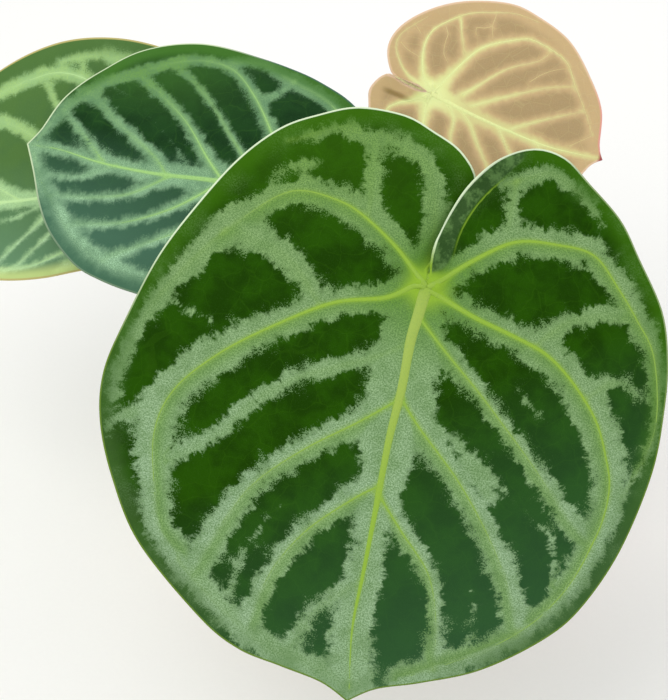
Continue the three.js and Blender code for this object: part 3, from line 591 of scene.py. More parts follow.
def leaf_outline(leaf, spacing):
    """Outline rows (x, y, turn) and the side of each, -1 up the -x side and +1 down the +x side."""
    minus = smooth_rows([*leaf["minus_side"], leaf["plus_side"][0]], spacing)[:-1]
    plus = smooth_rows(leaf["plus_side"], spacing)[:-1]
    return np.vstack([minus, plus]), np.repeat([-1.0, 1.0], [len(minus), len(plus)])


def rim_distance(leaf, x, y, side):
    """Distance in mm to the outline of the point's own side of the leaf."""
    outline, outline_side = leaf_outline(leaf, ROUTE_SPACING)
    closed = np.vstack([outline, outline[:1]])[:, :2]
    split = int((outline_side < 0).sum())
    minus = nearest_on_route(x, y, closed[:split + 1])[0]
    plus = nearest_on_route(x, y, closed[split:])[0]
    return np.where(side < 0, minus, plus)


def fold_height(leaf, x, y, side):
    """Lift of the folded lobe edges: lift * window(y) * (1 - inward / width)^1.3, where inward is
    the distance from the fold's edge line and window rises and falls by smoothsteps."""
    z = np.zeros_like(x)
    for fold in leaf["folds"]:
        inward = fold["side"] * x - fold["edge"](y)
        window = smoothstep(y, fold["from"], fold["full"])
        window *= 1 - smoothstep(y, fold["fade"], fold["end"])
        lift = fold["lift"] * window * np.maximum(1 - inward / fold["width"], 0) ** FOLD_SHARPNESS
        z += np.where(side == fold["side"], lift, 0)
    return z


def leaf_height(leaf, x, y, side):
    """Height of the plain blade: minus a square law of x for the droop to the sides, of y for the
    droop to tip and lobes, minus a bell for the dimple at the junction, plus the folds."""
    below = np.maximum(leaf["droop_from"] - y, 0) / TIP_DROOP_REACH
    above = np.maximum(y - leaf["droop_from"], 0) / LOBE_DROOP_REACH
    z = -leaf["cross_droop"] * (x / leaf["half_width"]) ** 2
    z -= leaf["plus_droop"] * (np.maximum(x, 0) / leaf["half_width"]) ** 2
    z -= leaf["tip_droop"] * below ** 2 + leaf["lobe_droop"] * above ** 2
    z -= leaf["dimple"] * np.exp(-(x * x + y * y) / DIMPLE_RADIUS ** 2)
    return z + fold_height(leaf, x, y, side)


def vein_route(points, spacing):
    """Smooth route of a vein on the blade, in mm, with a point about every spacing."""
    return smooth_rows(points, spacing)[:, :2]


def sized(leaf, kept):
    """Factor of a size that shrinks with the leaf but keeps a part: kept + (1 - kept) scale."""
    return kept + (1 - kept) * leaf["scale"]


def vein_fields(leaf, x, y, side, sizes):
    """What each point of a blade has from its veins. The edge of the silver, in mm and negative
    inside it, is the soft least -b log(sum exp(-e / b)) over the veins, where e is the distance to
    a vein less the half width of its band. The groove is 1 - product(1 - pull exp(-(d / w)^2)),
    the tint the same with a narrower bell, and olive, the side of each band that takes painted shade,
    is the mean side of the veins, weighted by exp(-e / b)."""
    weight, sided = np.zeros_like(x), np.zeros_like(x)
    least = np.full_like(x, np.inf)
    along, distance = np.zeros_like(x), np.zeros_like(x)
    rise, bare = np.ones_like(x), np.ones_like(x)
    scale = leaf["scale"]
    groove_width = sizes.groove / MM * sized(leaf, GROOVE_KEPT)
    tint_width = TINT_REACH[0] * scale + TINT_REACH[1]
    for number, (kind, band, points) in enumerate(leaf["veins"]):
        looks = VEIN_KINDS[kind]
        route = vein_route(points, ROUTE_SPACING)
        gap, run, left, total = nearest_on_route(x, y, route)
        half = 0 if kind == "midrib" else np.sign(route[:, 0].mean())
        gap = gap + FAR_SIDE * (half * side < 0) * smoothstep(y, *LOBES_PART)
        share = run / total
        edge = gap - np.interp(share, np.linspace(0, 1, len(band)), band)
        pull = np.exp(-np.clip(edge, *EDGE_RANGE) / BAND_BLEND)
        weight += pull
        sided += pull * left * np.tanh(gap / SIDE_BLEND) * -half * looks["olive"]
        closer = edge < least
        along = np.where(closer, run + PATTERN_STEP * number, along)
        distance = np.where(closer, gap, distance)
        least = np.minimum(least, edge)
        rise *= 1 - looks["pull"] * (1 - PULL_LOSS * share) * np.exp(-(gap / groove_width) ** 2)
        bare *= 1 - looks["tint"] * (1 - TINT_LOSS * share) * np.exp(-(gap / tint_width) ** 2)
    hub = np.exp(-(x * x + y * y) / (HUB_RADIUS * scale) ** 2)
    return {
        "along": along, "distance": distance, "edge": -BAND_BLEND * np.log(weight),
        "olive": sided / weight, "rise": rise, "tint": 1 - bare * (1 - hub),
    }


def blade_height(leaf, x, y, side, fields, margin, sizes):
    """The plain blade's height, plus swell (rise - 1) for the grooves of the veins, which die away
    at the rim by a smoothstep, plus a bell for each small knob beside the junction."""
    scale = leaf["scale"]
    swell = sizes.quilting / MM * sized(leaf, SWELL_KEPT)
    quilt = swell * (fields["rise"] - 1) * smoothstep(margin, 0, SWELL_MARGIN * scale)
    bells = sum(
        np.exp(-((x - kx) ** 2 + (y - ky) ** 2) / (KNOB_RADIUS * scale) ** 2) for kx, ky in KNOB_PLACES)
    return leaf_height(leaf, x, y, side) + quilt + KNOB_HEIGHT * scale * bells


def leaf_axes(leaf):
    """Rows are the leaf's x, y and z directions in the plant's frame: y points away from the tip, z
    is the normal with its share along y taken out, and x is their cross product."""
    back = -np.array(leaf["tip_direction"]) / np.linalg.norm(leaf["tip_direction"])
    out = np.array(leaf["normal"]) - back * np.dot(leaf["normal"], back)
    out /= np.linalg.norm(out)
    return np.array([np.cross(back, out), back, out])


def to_plant(leaf, points):
    """Points of a leaf's frame in the plant's frame, in mm."""
    return points @ leaf_axes(leaf) + np.array(leaf["junction"])


def grid_faces(rows, columns):
    """Quads between neighbouring rows of a grid of points whose last column joins the first."""
    i, j = np.meshgrid(np.arange(rows - 1), np.arange(columns), indexing="ij")
    a = (i * columns + j).ravel()
    b = (i * columns + (j + 1) % columns).ravel()
    return np.stack([a, b, b + columns, a + columns], 1)


def fan_faces(centre, first, count, turned=False):
    """Triangles from a centre point to a ring of count points that starts at first."""
    j = np.arange(count)
    a, b = first + j, first + (j + 1) % count
    return np.stack([np.full(count, centre), *((b, a) if turned else (a, b))], 1)


def make_piece(name, points, faces, materials, parts=None, values=None):
    """Object with its place in its mesh, from points in mm and lists of faces. Values are arrays of
    one or three numbers a point, kept as attributes, and parts gives each face's material."""
    mesh = bpy.data.meshes.new(name)
    mesh.from_pydata((points * MM).tolist(), [], [face for group in faces for face in group.tolist()])
    for material in materials:
        mesh.materials.append(material)
    if parts is not None:
        mesh.polygons.foreach_set("material_index", parts.astype(np.int32))
    for key, data in (values or {}).items():
        kind, field = ("FLOAT_VECTOR", "vector") if data.ndim == 2 else ("FLOAT", "value")
        attribute = mesh.attributes.new(key, kind, "POINT")
        attribute.data.foreach_set(field, data.astype(np.float32).ravel())
    mesh.polygons.foreach_set("use_smooth", np.ones(len(mesh.polygons), bool))
    mesh.validate()
    mesh.update()
    piece = bpy.data.objects.new(name, mesh)
    bpy.context.scene.collection.objects.link(piece)
    return piece


def seat(piece, node):
    """Let a piece ride on the plant's one body, in place of its frame node."""
    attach(piece, "root")
    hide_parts(node)


def blade_grid(leaf):
    """Plan of a blade on rows of growing share r from the junction to the rim: P(s, r) = r
    Rot(turn(s) (1 - r)) C(s), with C the outline. Gives x, y, side and the rim's ripple, which is
    wave r^6 sin(2 pi n s), with n waves round the outline, and the shares of the rows."""
    outline, side = leaf_outline(leaf, RAY_SPACING)
    shares = np.sort(np.append(np.linspace(0, 1, leaf["rings"] + 1)[1:], RIM_ROWS))[:, None]
    angle = np.radians(outline[:, 2]) * (1 - shares)
    x = shares * (outline[:, 0] * np.cos(angle) - outline[:, 1] * np.sin(angle))
    y = shares * (outline[:, 0] * np.sin(angle) + outline[:, 1] * np.cos(angle))
    ripple = leaf["wave"] * shares ** RIM_WAVE_SHARPNESS * np.sin(
        2 * np.pi * leaf["waves"] * np.arange(len(outline)) / len(outline))
    return x, y, np.broadcast_to(side, x.shape), ripple, shares


def rim_ripple(leaf, x, y, side):
    """Ripple of the blade at each point of a vein, taken from the nearest point of the grid that
    isn't on the other side of the leaf."""
    gx, gy, gside, ripple, _ = (part.ravel() for part in blade_grid(leaf))
    gap = np.hypot(x[:, None] - gx, y[:, None] - gy)
    gap[side[:, None] * gside < 0] = np.inf
    return ripple[gap.argmin(1)]


def blade_mesh(leaf, sizes, materials):
    """A blade as one closed skin. Its middle surface is the grid raised by the blade's height and
    the ripple. The faces lie half a thickness out along the normal, and a half-round bead joins
    them."""
    x, y, sides, ripple, shares = blade_grid(leaf)
    rays = x.shape[1]
    flat = [np.append(0.0, a.ravel()) for a in (x, y, sides)]
    fields = vein_fields(leaf, *flat, sizes)
    margin = rim_distance(leaf, *flat)
    z = blade_height(leaf, *flat, fields, margin, sizes) + np.append(0.0, ripple.ravel())
    middle = np.stack([flat[0], flat[1], z], 1)
    grid = middle[1:].reshape(len(shares), rays, 3)
    outward = np.gradient(grid, axis=0)
    around = np.roll(grid, -1, 1) - np.roll(grid, 1, 1)
    normal = np.cross(outward, around)
    normal *= -1 / np.linalg.norm(normal, axis=2, keepdims=True)
    normal *= np.where((normal[..., 2:] < 0) & (shares[..., None] < UPRIGHT_TO), -1, 1)
    normals = np.vstack([[[0, 0, 1]], normal.reshape(-1, 3)])
    bead = smoothstep(shares, BEAD_FROM, 1)
    half = (sizes.thickness / 2 * (1 - bead) + sizes.bead * bead * sized(leaf, BEAD_KEPT)) / MM
    halves = np.append(sizes.thickness / 2 / MM, np.broadcast_to(half, x.shape).ravel())[:, None]
    over = outward[-1] / np.linalg.norm(outward[-1], axis=1, keepdims=True)
    turns = np.radians(np.linspace(90, -90, BEAD_TURNS)[1:-1])[:, None, None]
    rim = grid[-1] + halves[-1] * (np.sin(turns) * normal[-1] + np.cos(turns) * over)
    count = len(middle)
    points = np.vstack([middle + halves * normals, middle - halves * normals, rim.reshape(-1, 3)])
    top = grid_faces(len(shares), rays) + 1
    rim_rows = np.vstack([
        np.arange(count - rays, count),
        2 * count + np.arange(len(rim) * rays).reshape(-1, rays),
        np.arange(2 * count - rays, 2 * count)])
    strip = rim_rows.ravel()[grid_faces(len(rim_rows), rays)]
    faces = [
        fan_faces(0, 1, rays, True), top[:, ::-1], strip[:, ::-1],
        fan_faces(count, count + 1, rays), top + count]
    parts = np.repeat([0, 0, 0, 1, 1], [len(group) for group in faces])
    band = np.stack([fields["along"], fields["distance"], fields["edge"]], 1)
    looks = np.stack([fields["tint"], fields["olive"], margin], 1)
    place = np.stack([flat[0], flat[1], fold_height(leaf, *flat)], 1)

    def spread(data):
        """Values of the middle surface for both faces, and those of its rim for the bead."""
        return np.vstack([data, data, np.tile(data[-rays:], (len(rim), 1))])

    values = {"band": spread(band), "looks": spread(looks), "place": spread(place)}
    return make_piece(leaf["node"] + "_skin", to_plant(leaf, points), faces, materials, parts, values)


def vein_mesh(leaf, sizes, material):
    """The veins of a leaf as closed tubes. A tube's section is an ellipse with its own upper and
    lower height, carried along the vein's route on the blade, and it tapers to its end. The share
    kept for the colour is 0.3 at the root and nears tone + 0.7 (1 - tone) s along the vein. A ball
    stands below the junction."""
    groups, faces, values, start = [], [], [], 0
    turn = 2 * np.pi * np.arange(VEIN_SIDES) / VEIN_SIDES
    scale = leaf["scale"]
    for kind, _, points in leaf["veins"]:
        looks = VEIN_KINDS[kind]
        if not looks["widths"]:
            continue
        route = vein_route(points, RING_SPACING)
        stations = len(route)
        share = np.linspace(0, 1, stations)
        side = np.full(stations, 0.0 if kind == "midrib" else np.sign(route[:, 0].mean()))
        x, y = route.T
        fields = vein_fields(leaf, x, y, side, sizes)
        height = blade_height(leaf, x, y, side, fields, rim_distance(leaf, x, y, side), sizes)
        height += rim_ripple(leaf, x, y, side)
        step = np.gradient(route, axis=0)
        across = np.stack([-step[:, 1], step[:, 0]], 1) / np.hypot(*step.T)[:, None]
        width = np.interp(share, np.linspace(0, 1, len(looks["widths"])), looks["widths"])
        width *= leaf["vein_width"]
        rise = np.interp(share, [0, 1], looks["rise"]) * sized(leaf, RISE_KEPT)
        rise = np.maximum(rise, leaf["least_rise"])
        deep = sizes.thickness / 2 / MM + looks["depth"] * scale * (1 - DEPTH_LOSS * share)
        up = np.where(np.sin(turn) > 0, rise[:, None], deep[:, None]) * np.sin(turn)
        ring = np.empty((stations, VEIN_SIDES, 3))
        ring[..., :2] = route[:, None] + across[:, None] * (width[:, None] * np.cos(turn))[..., None]
        ring[..., 2] = height[:, None] + up
        ends = np.array([[*route[0], height[0]], [*route[-1], height[-1]]])
        groups.append(np.vstack([ring.reshape(-1, 3), ends]))
        body = grid_faces(stations, VEIN_SIDES) + start
        tail = start + stations * VEIN_SIDES
        faces += [
            body, fan_faces(tail, start, VEIN_SIDES, True),
            fan_faces(tail + 1, tail - VEIN_SIDES, VEIN_SIDES)]
        far = 1 - np.exp(-np.hypot(x, y) / (ROOT_REACH * scale))
        tone = looks["tone"] + TONE_GAIN * (1 - looks["tone"]) * share
        shade = ROOT_TONE * (1 - far) + far * tone
        values.append(np.concatenate([np.repeat(shade, VEIN_SIDES), shade[[0, -1]]]))
        start = tail + 2
    ball, ball_faces = ball_shape(leaf, sizes)
    groups.append(ball)
    faces += [group + start for group in ball_faces]
    values.append(np.zeros(len(ball)))
    points = to_plant(leaf, np.vstack(groups))
    name = leaf["node"] + "_veins"
    return make_piece(name, points, faces, [material], values={"share": np.concatenate(values)})


def ball_shape(leaf, sizes):
    """Ball under the junction: rings of radius r sin(a), r cos(a) above a centre that keeps the
    ball's top a little below the blade's upper face."""
    rows, sides = 12, 24
    radius = leaf["ball"]
    a = np.pi * np.arange(1, rows) / rows
    turn = 2 * np.pi * np.arange(sides) / sides
    zero = np.zeros(1)
    centre = leaf_height(leaf, zero, zero, zero)[0] + sizes.thickness / 2 / MM - radius - BALL_SINK
    ring = np.stack([
        np.sin(a)[:, None] * np.cos(turn) * radius, np.sin(a)[:, None] * np.sin(turn) * radius,
        np.repeat(np.cos(a)[:, None], sides, 1) * radius + centre], 2)
    points = np.vstack([ring.reshape(-1, 3), [[0, 0, centre + radius], [0, 0, centre - radius]]])
    count = (rows - 1) * sides
    faces = [
        grid_faces(rows - 1, sides)[:, ::-1], fan_faces(count, 0, sides),
        fan_faces(count + 1, count - sides, sides, True)]
    return points, faces


def stalk_route(stalk, stations):
    """Centripetal Catmull-Rom curve from inside the crown through the guides to the ball, sampled at
    shares of its length. Each span is a Hermite cubic whose end slopes weigh the neighbouring steps
    by the square roots of their lengths."""
    leaf = stalk["leaf"]
    angle, height = math.radians(stalk["foot"][0]), stalk["foot"][1]
    inside = CROWN_RADIUS / 2
    zero = np.zeros(1)
    top = leaf_height(leaf, zero, zero, zero)[0] - leaf["ball"]
    knots = np.array([
        (inside * math.cos(angle), inside * math.sin(angle), height), *stalk["guides"],
        to_plant(leaf, np.array([0, 0, top]))])
    knots = np.vstack([2 * knots[0] - knots[1], knots, 2 * knots[-1] - knots[-2]])
    spans = []
    steps = 60
    t = np.linspace(0, 1, steps, endpoint=False)[:, None]
    for p0, p1, p2, p3 in zip(knots, knots[1:], knots[2:], knots[3:]):
        d0, d1, d2 = (math.sqrt(np.linalg.norm(b - a)) for a, b in ((p0, p1), (p1, p2), (p2, p3)))
        m1 = ((p1 - p0) / d0 - (p2 - p0) / (d0 + d1) + (p2 - p1) / d1) * d1
        m2 = ((p2 - p1) / d1 - (p3 - p1) / (d1 + d2) + (p3 - p2) / d2) * d1
        spans.append(p1 + m1 * t + (3 * (p2 - p1) - 2 * m1 - m2) * t ** 2
                     + (2 * (p1 - p2) + m1 + m2) * t ** 3)
    dense = np.vstack([*spans, knots[-2:-1]])
    run = np.concatenate([[0], np.cumsum(np.linalg.norm(np.diff(dense, axis=0), axis=1))])
    wanted = stations * run[-1]
    return np.stack([np.interp(wanted, run, dense[:, i]) for i in range(3)], 1), run[-1]


def stalk_mesh(stalk, sizes, material):
    """A stalk: circles carried along its route, of radius r + flare exp(-s / 14) at the foot and
    swelling by a smoothstep into the knuckle, with fine waves of a share of the radius, and with a
    shallow bell-shaped channel on the side towards the sky."""
    stations, sides = 90, 28
    share = np.linspace(0, 1, stations)
    route, total = stalk_route(stalk, share)
    along = np.gradient(route, axis=0)
    along /= np.linalg.norm(along, axis=1, keepdims=True)
    first = np.cross(along, UPWARD)
    first /= np.linalg.norm(first, axis=1, keepdims=True)
    second = np.cross(first, along)
    run = share * total
    swell = smoothstep(run, total - KNUCKLE_REACH[0], total - KNUCKLE_REACH[1])
    radius = sizes.stalk + (sizes.stalk_foot - sizes.stalk) * np.exp(-run / FLARE_REACH)
    radius = (radius + (sizes.knuckle - sizes.stalk) * swell) * stalk["girth"] / MM
    skin_wave = SKIN_WAVE[0] * np.sin(run * SKIN_WAVE[1])
    radius *= 1 + skin_wave + KNUCKLE_WAVE[0] * swell * np.sin(run * KNUCKLE_WAVE[1])
    turn = 2 * np.pi * np.arange(sides) / sides
    channel = CHANNEL[0] * (1 - swell)[:, None] * np.exp(-((turn - np.pi / 2) / CHANNEL[1]) ** 2)
    r = radius[:, None] * (1 - channel)
    ring = route[:, None] + r[..., None] * (
        first[:, None] * np.cos(turn)[:, None] + second[:, None] * np.sin(turn)[:, None])
    points = np.vstack([ring.reshape(-1, 3), route[:1], route[-1:]])
    count = stations * sides
    faces = [
        grid_faces(stations, sides)[:, ::-1], fan_faces(count, 0, sides),
        fan_faces(count + 1, count - sides, sides, True)]
    values = {
        "share": np.concatenate([np.repeat(share, sides), [0, 1]]),
        "turn": np.concatenate([np.tile(np.arange(sides) / sides, stations), [0, 0]])}
    return make_piece(stalk["node"] + "_skin", points, faces, [material], values=values)


def lathe(profile, sides, shape):
    """Closed surface from a profile of (radius, height) rows whose ends lie on the axis: the point at
    angle a is (r cos a, r sin a, z), with r and z as shape changes them for that angle."""
    a = 2 * np.pi * np.arange(sides) / sides
    r = np.repeat(profile[1:-1, :1], sides, 1)
    z = np.repeat(profile[1:-1, 1:], sides, 1)
    r, z = shape(r, z, a)
    ring = np.stack([r * np.cos(a), r * np.sin(a), z], 2)
    rows = len(profile) - 2
    points = np.vstack([
        ring.reshape(-1, 3), [[0, 0, profile[0, 1]], [0, 0, z[-1].mean()]]])
    count = rows * sides
    faces = [
        grid_faces(rows, sides), fan_faces(count, 0, sides, True),
        fan_faces(count + 1, count - sides, sides)]
    return points, faces


def rounded_profile(corners, radius):
    """Profile whose inner corners are rounded. Each becomes the quadratic curve
    (1 - t)^2 a + 2 t (1 - t) c + t^2 b, with a and b on the edges of the corner c, as far from it
    as the radius or as the most that may be taken off an edge."""
    steps, most = 5, 0.45
    corners = np.array(corners, float)
    t = np.linspace(0, 1, steps)[:, None]
    rows = [corners[:1]]
    for before, corner, after in zip(corners, corners[1:], corners[2:]):
        ends = []
        for other in (before, after):
            edge = other - corner
            reach = np.linalg.norm(edge)
            ends.append(corner + edge / reach * min(radius, most * reach))
        rows.append((1 - t) ** 2 * ends[0] + 2 * t * (1 - t) * corner + t ** 2 * ends[1])
    return np.vstack([*rows, corners[-1:]])


def dense_profile(profile, spacing):
    """The same profile with points no further apart than spacing."""
    rows = []
    for a, b in zip(profile, profile[1:]):
        steps = max(1, math.ceil(np.linalg.norm(b - a) / spacing))
        rows.append(a + (b - a) * np.arange(steps)[:, None] / steps)
    return np.vstack([*rows, profile[-1:]])


# Settings that many nodes share: a smooth step, a mix of colours, a product, and a product with a
# number added. ALL stands for every output. A smooth step takes its value, where it starts and ends,
# then what it gives there, 0 and 1 if left out; its reaches on a leaf are in mm.
STEP = {"interpolation_type": "SMOOTHSTEP"}
TINT = {"data_type": "RGBA"}
TIMES = {"operation": "MULTIPLY"}
PLUS = {"operation": "MULTIPLY_ADD"}
ALL = slice(None)

# Real widths in mm of one wave or cell of each pattern. A leaf's attributes are in mm, so a pattern on
# them has the scale 1 / width. Object coordinates are in metres, with the scale 1 / (width * MM).
SILVER_GRAIN = 0.5263
SILVER_SPECK = 0.2941
FRAY_TOOTH = (0.71429, 2.5)
FRAY_STREAK = (2.5, 6.25)
FRAY_SWAY = 6.25
FRAY_RIPPLE = 2
THIN_PATCH = 9.091
MARGIN_PATCH = 13.33
VELVET_CLOUD = 14.29
VELVET_NET = 9.091
NET_BEND = 8.333
LOBE_STREAK = 7.692
UNDER_NET = 2.857
UNDER_GRAIN = 0.4545
UNDER_CLOUD = 10
YOUNG_GRAIN = 0.5556
YOUNG_SWAY = 3.333
YOUNG_NET = 6.25
VEIN_GRAIN = 0.7143
STALK_DASH = (1.111, 1.111, 2.857)
CROWN_LUMP = 3.846
SCAR_SPACING = 7.23
PEAT_CRUMB = 2.381
PEAT_GRAIN = 0.6667
PEAT_FIBRE = (3.333, 0.5556, 1.111)
BARK_LAYER = (2.857, 1.111, 0.625)
PERLITE_PORE = 0.3846
CLAY_BLOOM = 35.71
CLAY_GRAIN = 1.111
CLAY_LINE = (166.7, 166.7, 1.111)
CLAY_PIT = 3.846
PAPER_GRAIN = 1.667


def add_node(tree, kind, *values, out=0, named=None, **settings):
    """Add a node with its settings, fill or link its shown sockets in their order or by name, and
    give the output, or outputs, of the number out."""
    made = tree.nodes.new("ShaderNode" + kind)
    for key, value in settings.items():
        setattr(made, key, value)
    shown = [socket for socket in made.inputs if socket.enabled]
    by_name = [(made.inputs[key], value) for key, value in (named or {}).items()]
    for socket, value in [*zip(shown, values), *by_name]:
        if isinstance(value, bpy.types.NodeSocket):
            tree.links.new(value, socket)
        else:
            socket.default_value = value
    outputs = [socket for socket in made.outputs if socket.enabled]
    return outputs[out] if outputs else made


def per_metre(width):
    """Scale of a pattern on Object coordinates from the real width in mm of one wave, or the scales
    from the widths along x, y and z: 1 / metres each."""
    scale = 1 / (np.array(width) * MM)
    return scale.tolist()


def new_material(name):
    """An empty material, and the node function bound to its tree."""
    material = bpy.data.materials.new(name)
    material.use_nodes = True
    material.node_tree.nodes.clear()
    return material, functools.partial(add_node, material.node_tree)


def surfaced(material, add, base, rough, height, depth, **skin):
    """The material with its surface, from a colour, a roughness and a relief of the given depth in
    mm. Skin holds the plain settings of the surface."""
    bump = add("Bump", named={"Height": height, "Distance": depth * MM, "Strength": 1.0})
    plain = {key.replace("_", " "): value for key, value in skin.items()}
    surface = add("BsdfPrincipled", named={
        "Base Color": base, "Roughness": rough, "Normal": bump, **plain})
    add("OutputMaterial", surface)
    return material


def velvet_leaf(name, tones):
    """Upper face of a grown leaf: velvety skin of tiny bulging cells. It gives the eye dark velvet
    islands between grainy silver bands that fray into them across the vein, with painted glints in the
    silver, a greener side to each band that is painted shade, a green hub, a dusty margin and a thin
    stiff rim whose pale upper part is partly a painted highlight. The velvet has a painted bluish sheen
    in one place and painted light shining through it in another, and a lobe's upturned edge has
    painted shade with a painted highlight along its ridge."""
    material, add = new_material(name)
    along, distance, edge = add("SeparateXYZ", add("Attribute", attribute_name="band", out=1), out=ALL)
    tint, olive, margin = add("SeparateXYZ", add("Attribute", attribute_name="looks", out=1), out=ALL)
    place = add("Attribute", attribute_name="place", out=1)
    x, y, fold = add("SeparateXYZ", place, out=ALL)
    flat = add("CombineXYZ", x, y, 0.0)
    near = add("VectorMath", flat, operation="LENGTH")
    across, down, start = tones["fall"]
    fall = add("Math", x, across, add("Math", y, down, start, **PLUS), use_clamp=True, **PLUS)

    # The edge of the silver is pushed to and fro by waves, each with its reach in mm: teeth and streaks
    # across the vein, set apart on its two sides, a slow sway, a ripple, and grain, which reaches
    # further in the margin
    depth = add("Math", olive, 2.0, **TIMES)
    run_at = add("CombineXYZ", along, distance, depth)
    teeth_at, streaks_at = (
        add("VectorMath", run_at, (1 / length_on, 1 / length_off, 1.0), **TIMES)
        for length_on, length_off in (FRAY_TOOTH, FRAY_STREAK))
    grain = add("TexNoise", flat, 1 / SILVER_GRAIN, 3.0, 0.72)
    patch = add("TexNoise", flat, 1 / MARGIN_PATCH, 2.0)
    margin_reach = add("MapRange", margin, 14.0, 3.0, 5.0, 10.0, **STEP)
    frays = [
        (add("TexNoise", teeth_at, 1.0, 1.0, 0.6), 3.0),
        (add("TexNoise", streaks_at, 1.0, 1.0), 3.2),
        (add("TexNoise", flat, 1 / FRAY_SWAY, 1.0), 6.0),
        (add("TexNoise", flat, 1 / FRAY_RIPPLE, 2.0, 0.6), 4.0),
        (grain, add("MapRange", patch, 0.46, 0.64, margin_reach, 19.0, **STEP))]
    for wave, reach in frays:
        shift = add("Math", add("Math", wave, 0.5, operation="SUBTRACT"), reach, **TIMES)
        edge = add("Math", shift, tones["fray"], edge, **PLUS)
    soft = add("MapRange", fall, 0.0, 1.0, *tones["softness"])
    silver_part = add("MapRange", add("Math", edge, soft, operation="DIVIDE"), 0.8, -0.9, **STEP)

    # Velvet: cloudy, with a hardly seen net, warmer with painted light shining through it in one place
    # and bluish with a painted sheen in another
    cloud = add("TexNoise", flat, 1 / VELVET_CLOUD, 3.0, 0.6)
    velvet = add("Mix", add("MapRange", cloud, 0.38, 0.62, **STEP), tones["dark"], tones["deep"], **TINT)
    sway = add("VectorMath", add("TexNoise", flat, 1 / NET_BEND, out=1), (6, 6, 0), **TIMES)
    bent = add("VectorMath", flat, sway, operation="ADD")
    net = add("TexVoronoi", bent, 1 / VELVET_NET, feature="DISTANCE_TO_EDGE")
    net = add("MapRange", net, 0.028, 0.0, 0.0, 0.13, **STEP)
    velvet = add("Mix", net, velvet, tones["warm"], **TINT)
    # Painted sheen: the velvet turns to its bluish colour by a share that grows along x and y
    across, down, start = tones["bloom_and_sheen"]
    bloom_and_sheen = add("Math", x, across, add("Math", y, down, start, **PLUS), use_clamp=True, **PLUS)
    velvet = add("Mix", bloom_and_sheen, velvet, tones["cool"], **TINT)
    # Painted light shining through the blade: the velvet turns warmer green over a corner set by x and y
    from_x, to_x, from_y, to_y, most = tones["painted_backlight"]
    painted_backlight = add("MapRange", x, from_x, to_x, 0.0, add("MapRange", y, from_y, to_y, **STEP), **STEP)
    velvet = add("Mix", add("Math", painted_backlight, most, **TIMES), velvet, tones["warm"], **TINT)
    nap = add("MapRange", grain, 0.5, 0.75, 0.0, 0.12, **STEP)
    velvet = add("Mix", nap, velvet, tones["shade"], **TINT)

    # Silver: paler low down, warmer with painted light shining through, greener on one side of the vein
    # with painted shade, greener towards the junction, and grainy with painted glints
    pale = add("Mix", fall, tones["silver_high"], tones["silver"], **TINT)
    # Painted light shining through the bands of the lobes
    pale = add("Mix", painted_backlight, pale, tones["silver_backlit"], **TINT)
    # Painted shade: one side of each band turns greener, most near the vein
    beside = add("MapRange", distance, 0.8, 6.0, tones["side_shade_share"], 0.3 * tones["side_shade_share"], **STEP)
    painted_side_shade = add("MapRange", olive, -0.3, 0.7, 0.0, beside, **STEP)
    pale = add("Mix", painted_side_shade, pale, tones["olive"], **TINT)
    reach = tones["hub_reach"]
    hub = add("MapRange", near, reach, 0.15 * reach, 0.0, 0.85, **STEP)
    pale = add("Mix", hub, pale, tones["hub"], **TINT)
    thin = add("TexNoise", flat, 1 / THIN_PATCH, 3.0, 0.65)
    thin = add("MapRange", thin, 0.42, 0.64, 0.0, 0.4, **STEP)
    pale = add("Mix", thin, pale, tones["thin"], **TINT)
    shade = add("Mix", 0.7, pale, tones["shade"], **TINT)
    silver = add("Mix", add("MapRange", grain, 0.4, 0.62, **STEP), shade, pale, **TINT)
    fine = add("TexNoise", flat, 1 / SILVER_SPECK, 2.0, 0.7)
    # Painted glints: fine dots of the silver lighten to their sparkle colour
    specks = add("MapRange", fine, 0.6, 0.78, 0.0, 0.45, **STEP)
    silver = add("Mix", specks, silver, tones["glint"], **TINT)
    base = add("Mix", silver_part, velvet, silver, **TINT)

    # Dusty margin, verge, tint of the veins, painted shade on the folded lobe edge with a painted
    # highlight along its ridge, and rim, whose pale part is partly a painted highlight
    dusty = add("MapRange", margin, 11.0, 1.0, 0.0, tones["dust"], **STEP)
    dusty = add("MapRange", patch, 0.4, 0.65, 0.0, dusty, **STEP)
    dust = add("MapRange", grain, 0.42, 0.62, 0.0, dusty, **STEP)
    base = add("Mix", dust, base, shade, **TINT)
    verge = add("Mix", fall, tones["verge_high"], tones["verge_low"], **TINT)
    from_reach, to_reach, most = tones["verge_reach"]
    most = add("MapRange", y, *tones["clear"], 0.0, most, **STEP)
    verge_share = add("MapRange", margin, from_reach, to_reach, 0.0, most, **STEP)
    base = add("Mix", verge_share, base, verge, **TINT)
    base = add("Mix", add("MapRange", tint, 0.03, 0.85, **STEP), base, tones["rib"], **TINT)
    # Painted shade on the upturned lobe edge: dull grey-green with paler streaks
    streak = add("TexNoise", flat, 1 / LOBE_STREAK, 4.0, 0.7)
    streak = add("MapRange", streak, 0.45, 0.6, 0.0, 0.8, **STEP)
    strip = add("Mix", streak, tones["strip"], tones["thin"], **TINT)
    base = add("Mix", add("MapRange", fold, 0.25, 0.9, 0.0, 0.85, **STEP), base, strip, **TINT)
    # Painted highlight along the ridge of the fold, in the ribs' yellow-green
    crest_highlight = add("MapRange", fold, 0.01, 0.09, 0.0, add("MapRange", fold, 0.5, 0.15, **STEP), **STEP)
    crest_highlight = add("MapRange", y, 44.0, 36.0, 0.0, crest_highlight, **STEP)
    crest_highlight = add("MapRange", y, 8.0, 26.0, 0.0, crest_highlight, **STEP)
    base = add("Mix", add("Math", crest_highlight, 0.65, **TIMES), base, tones["rib"], **TINT)
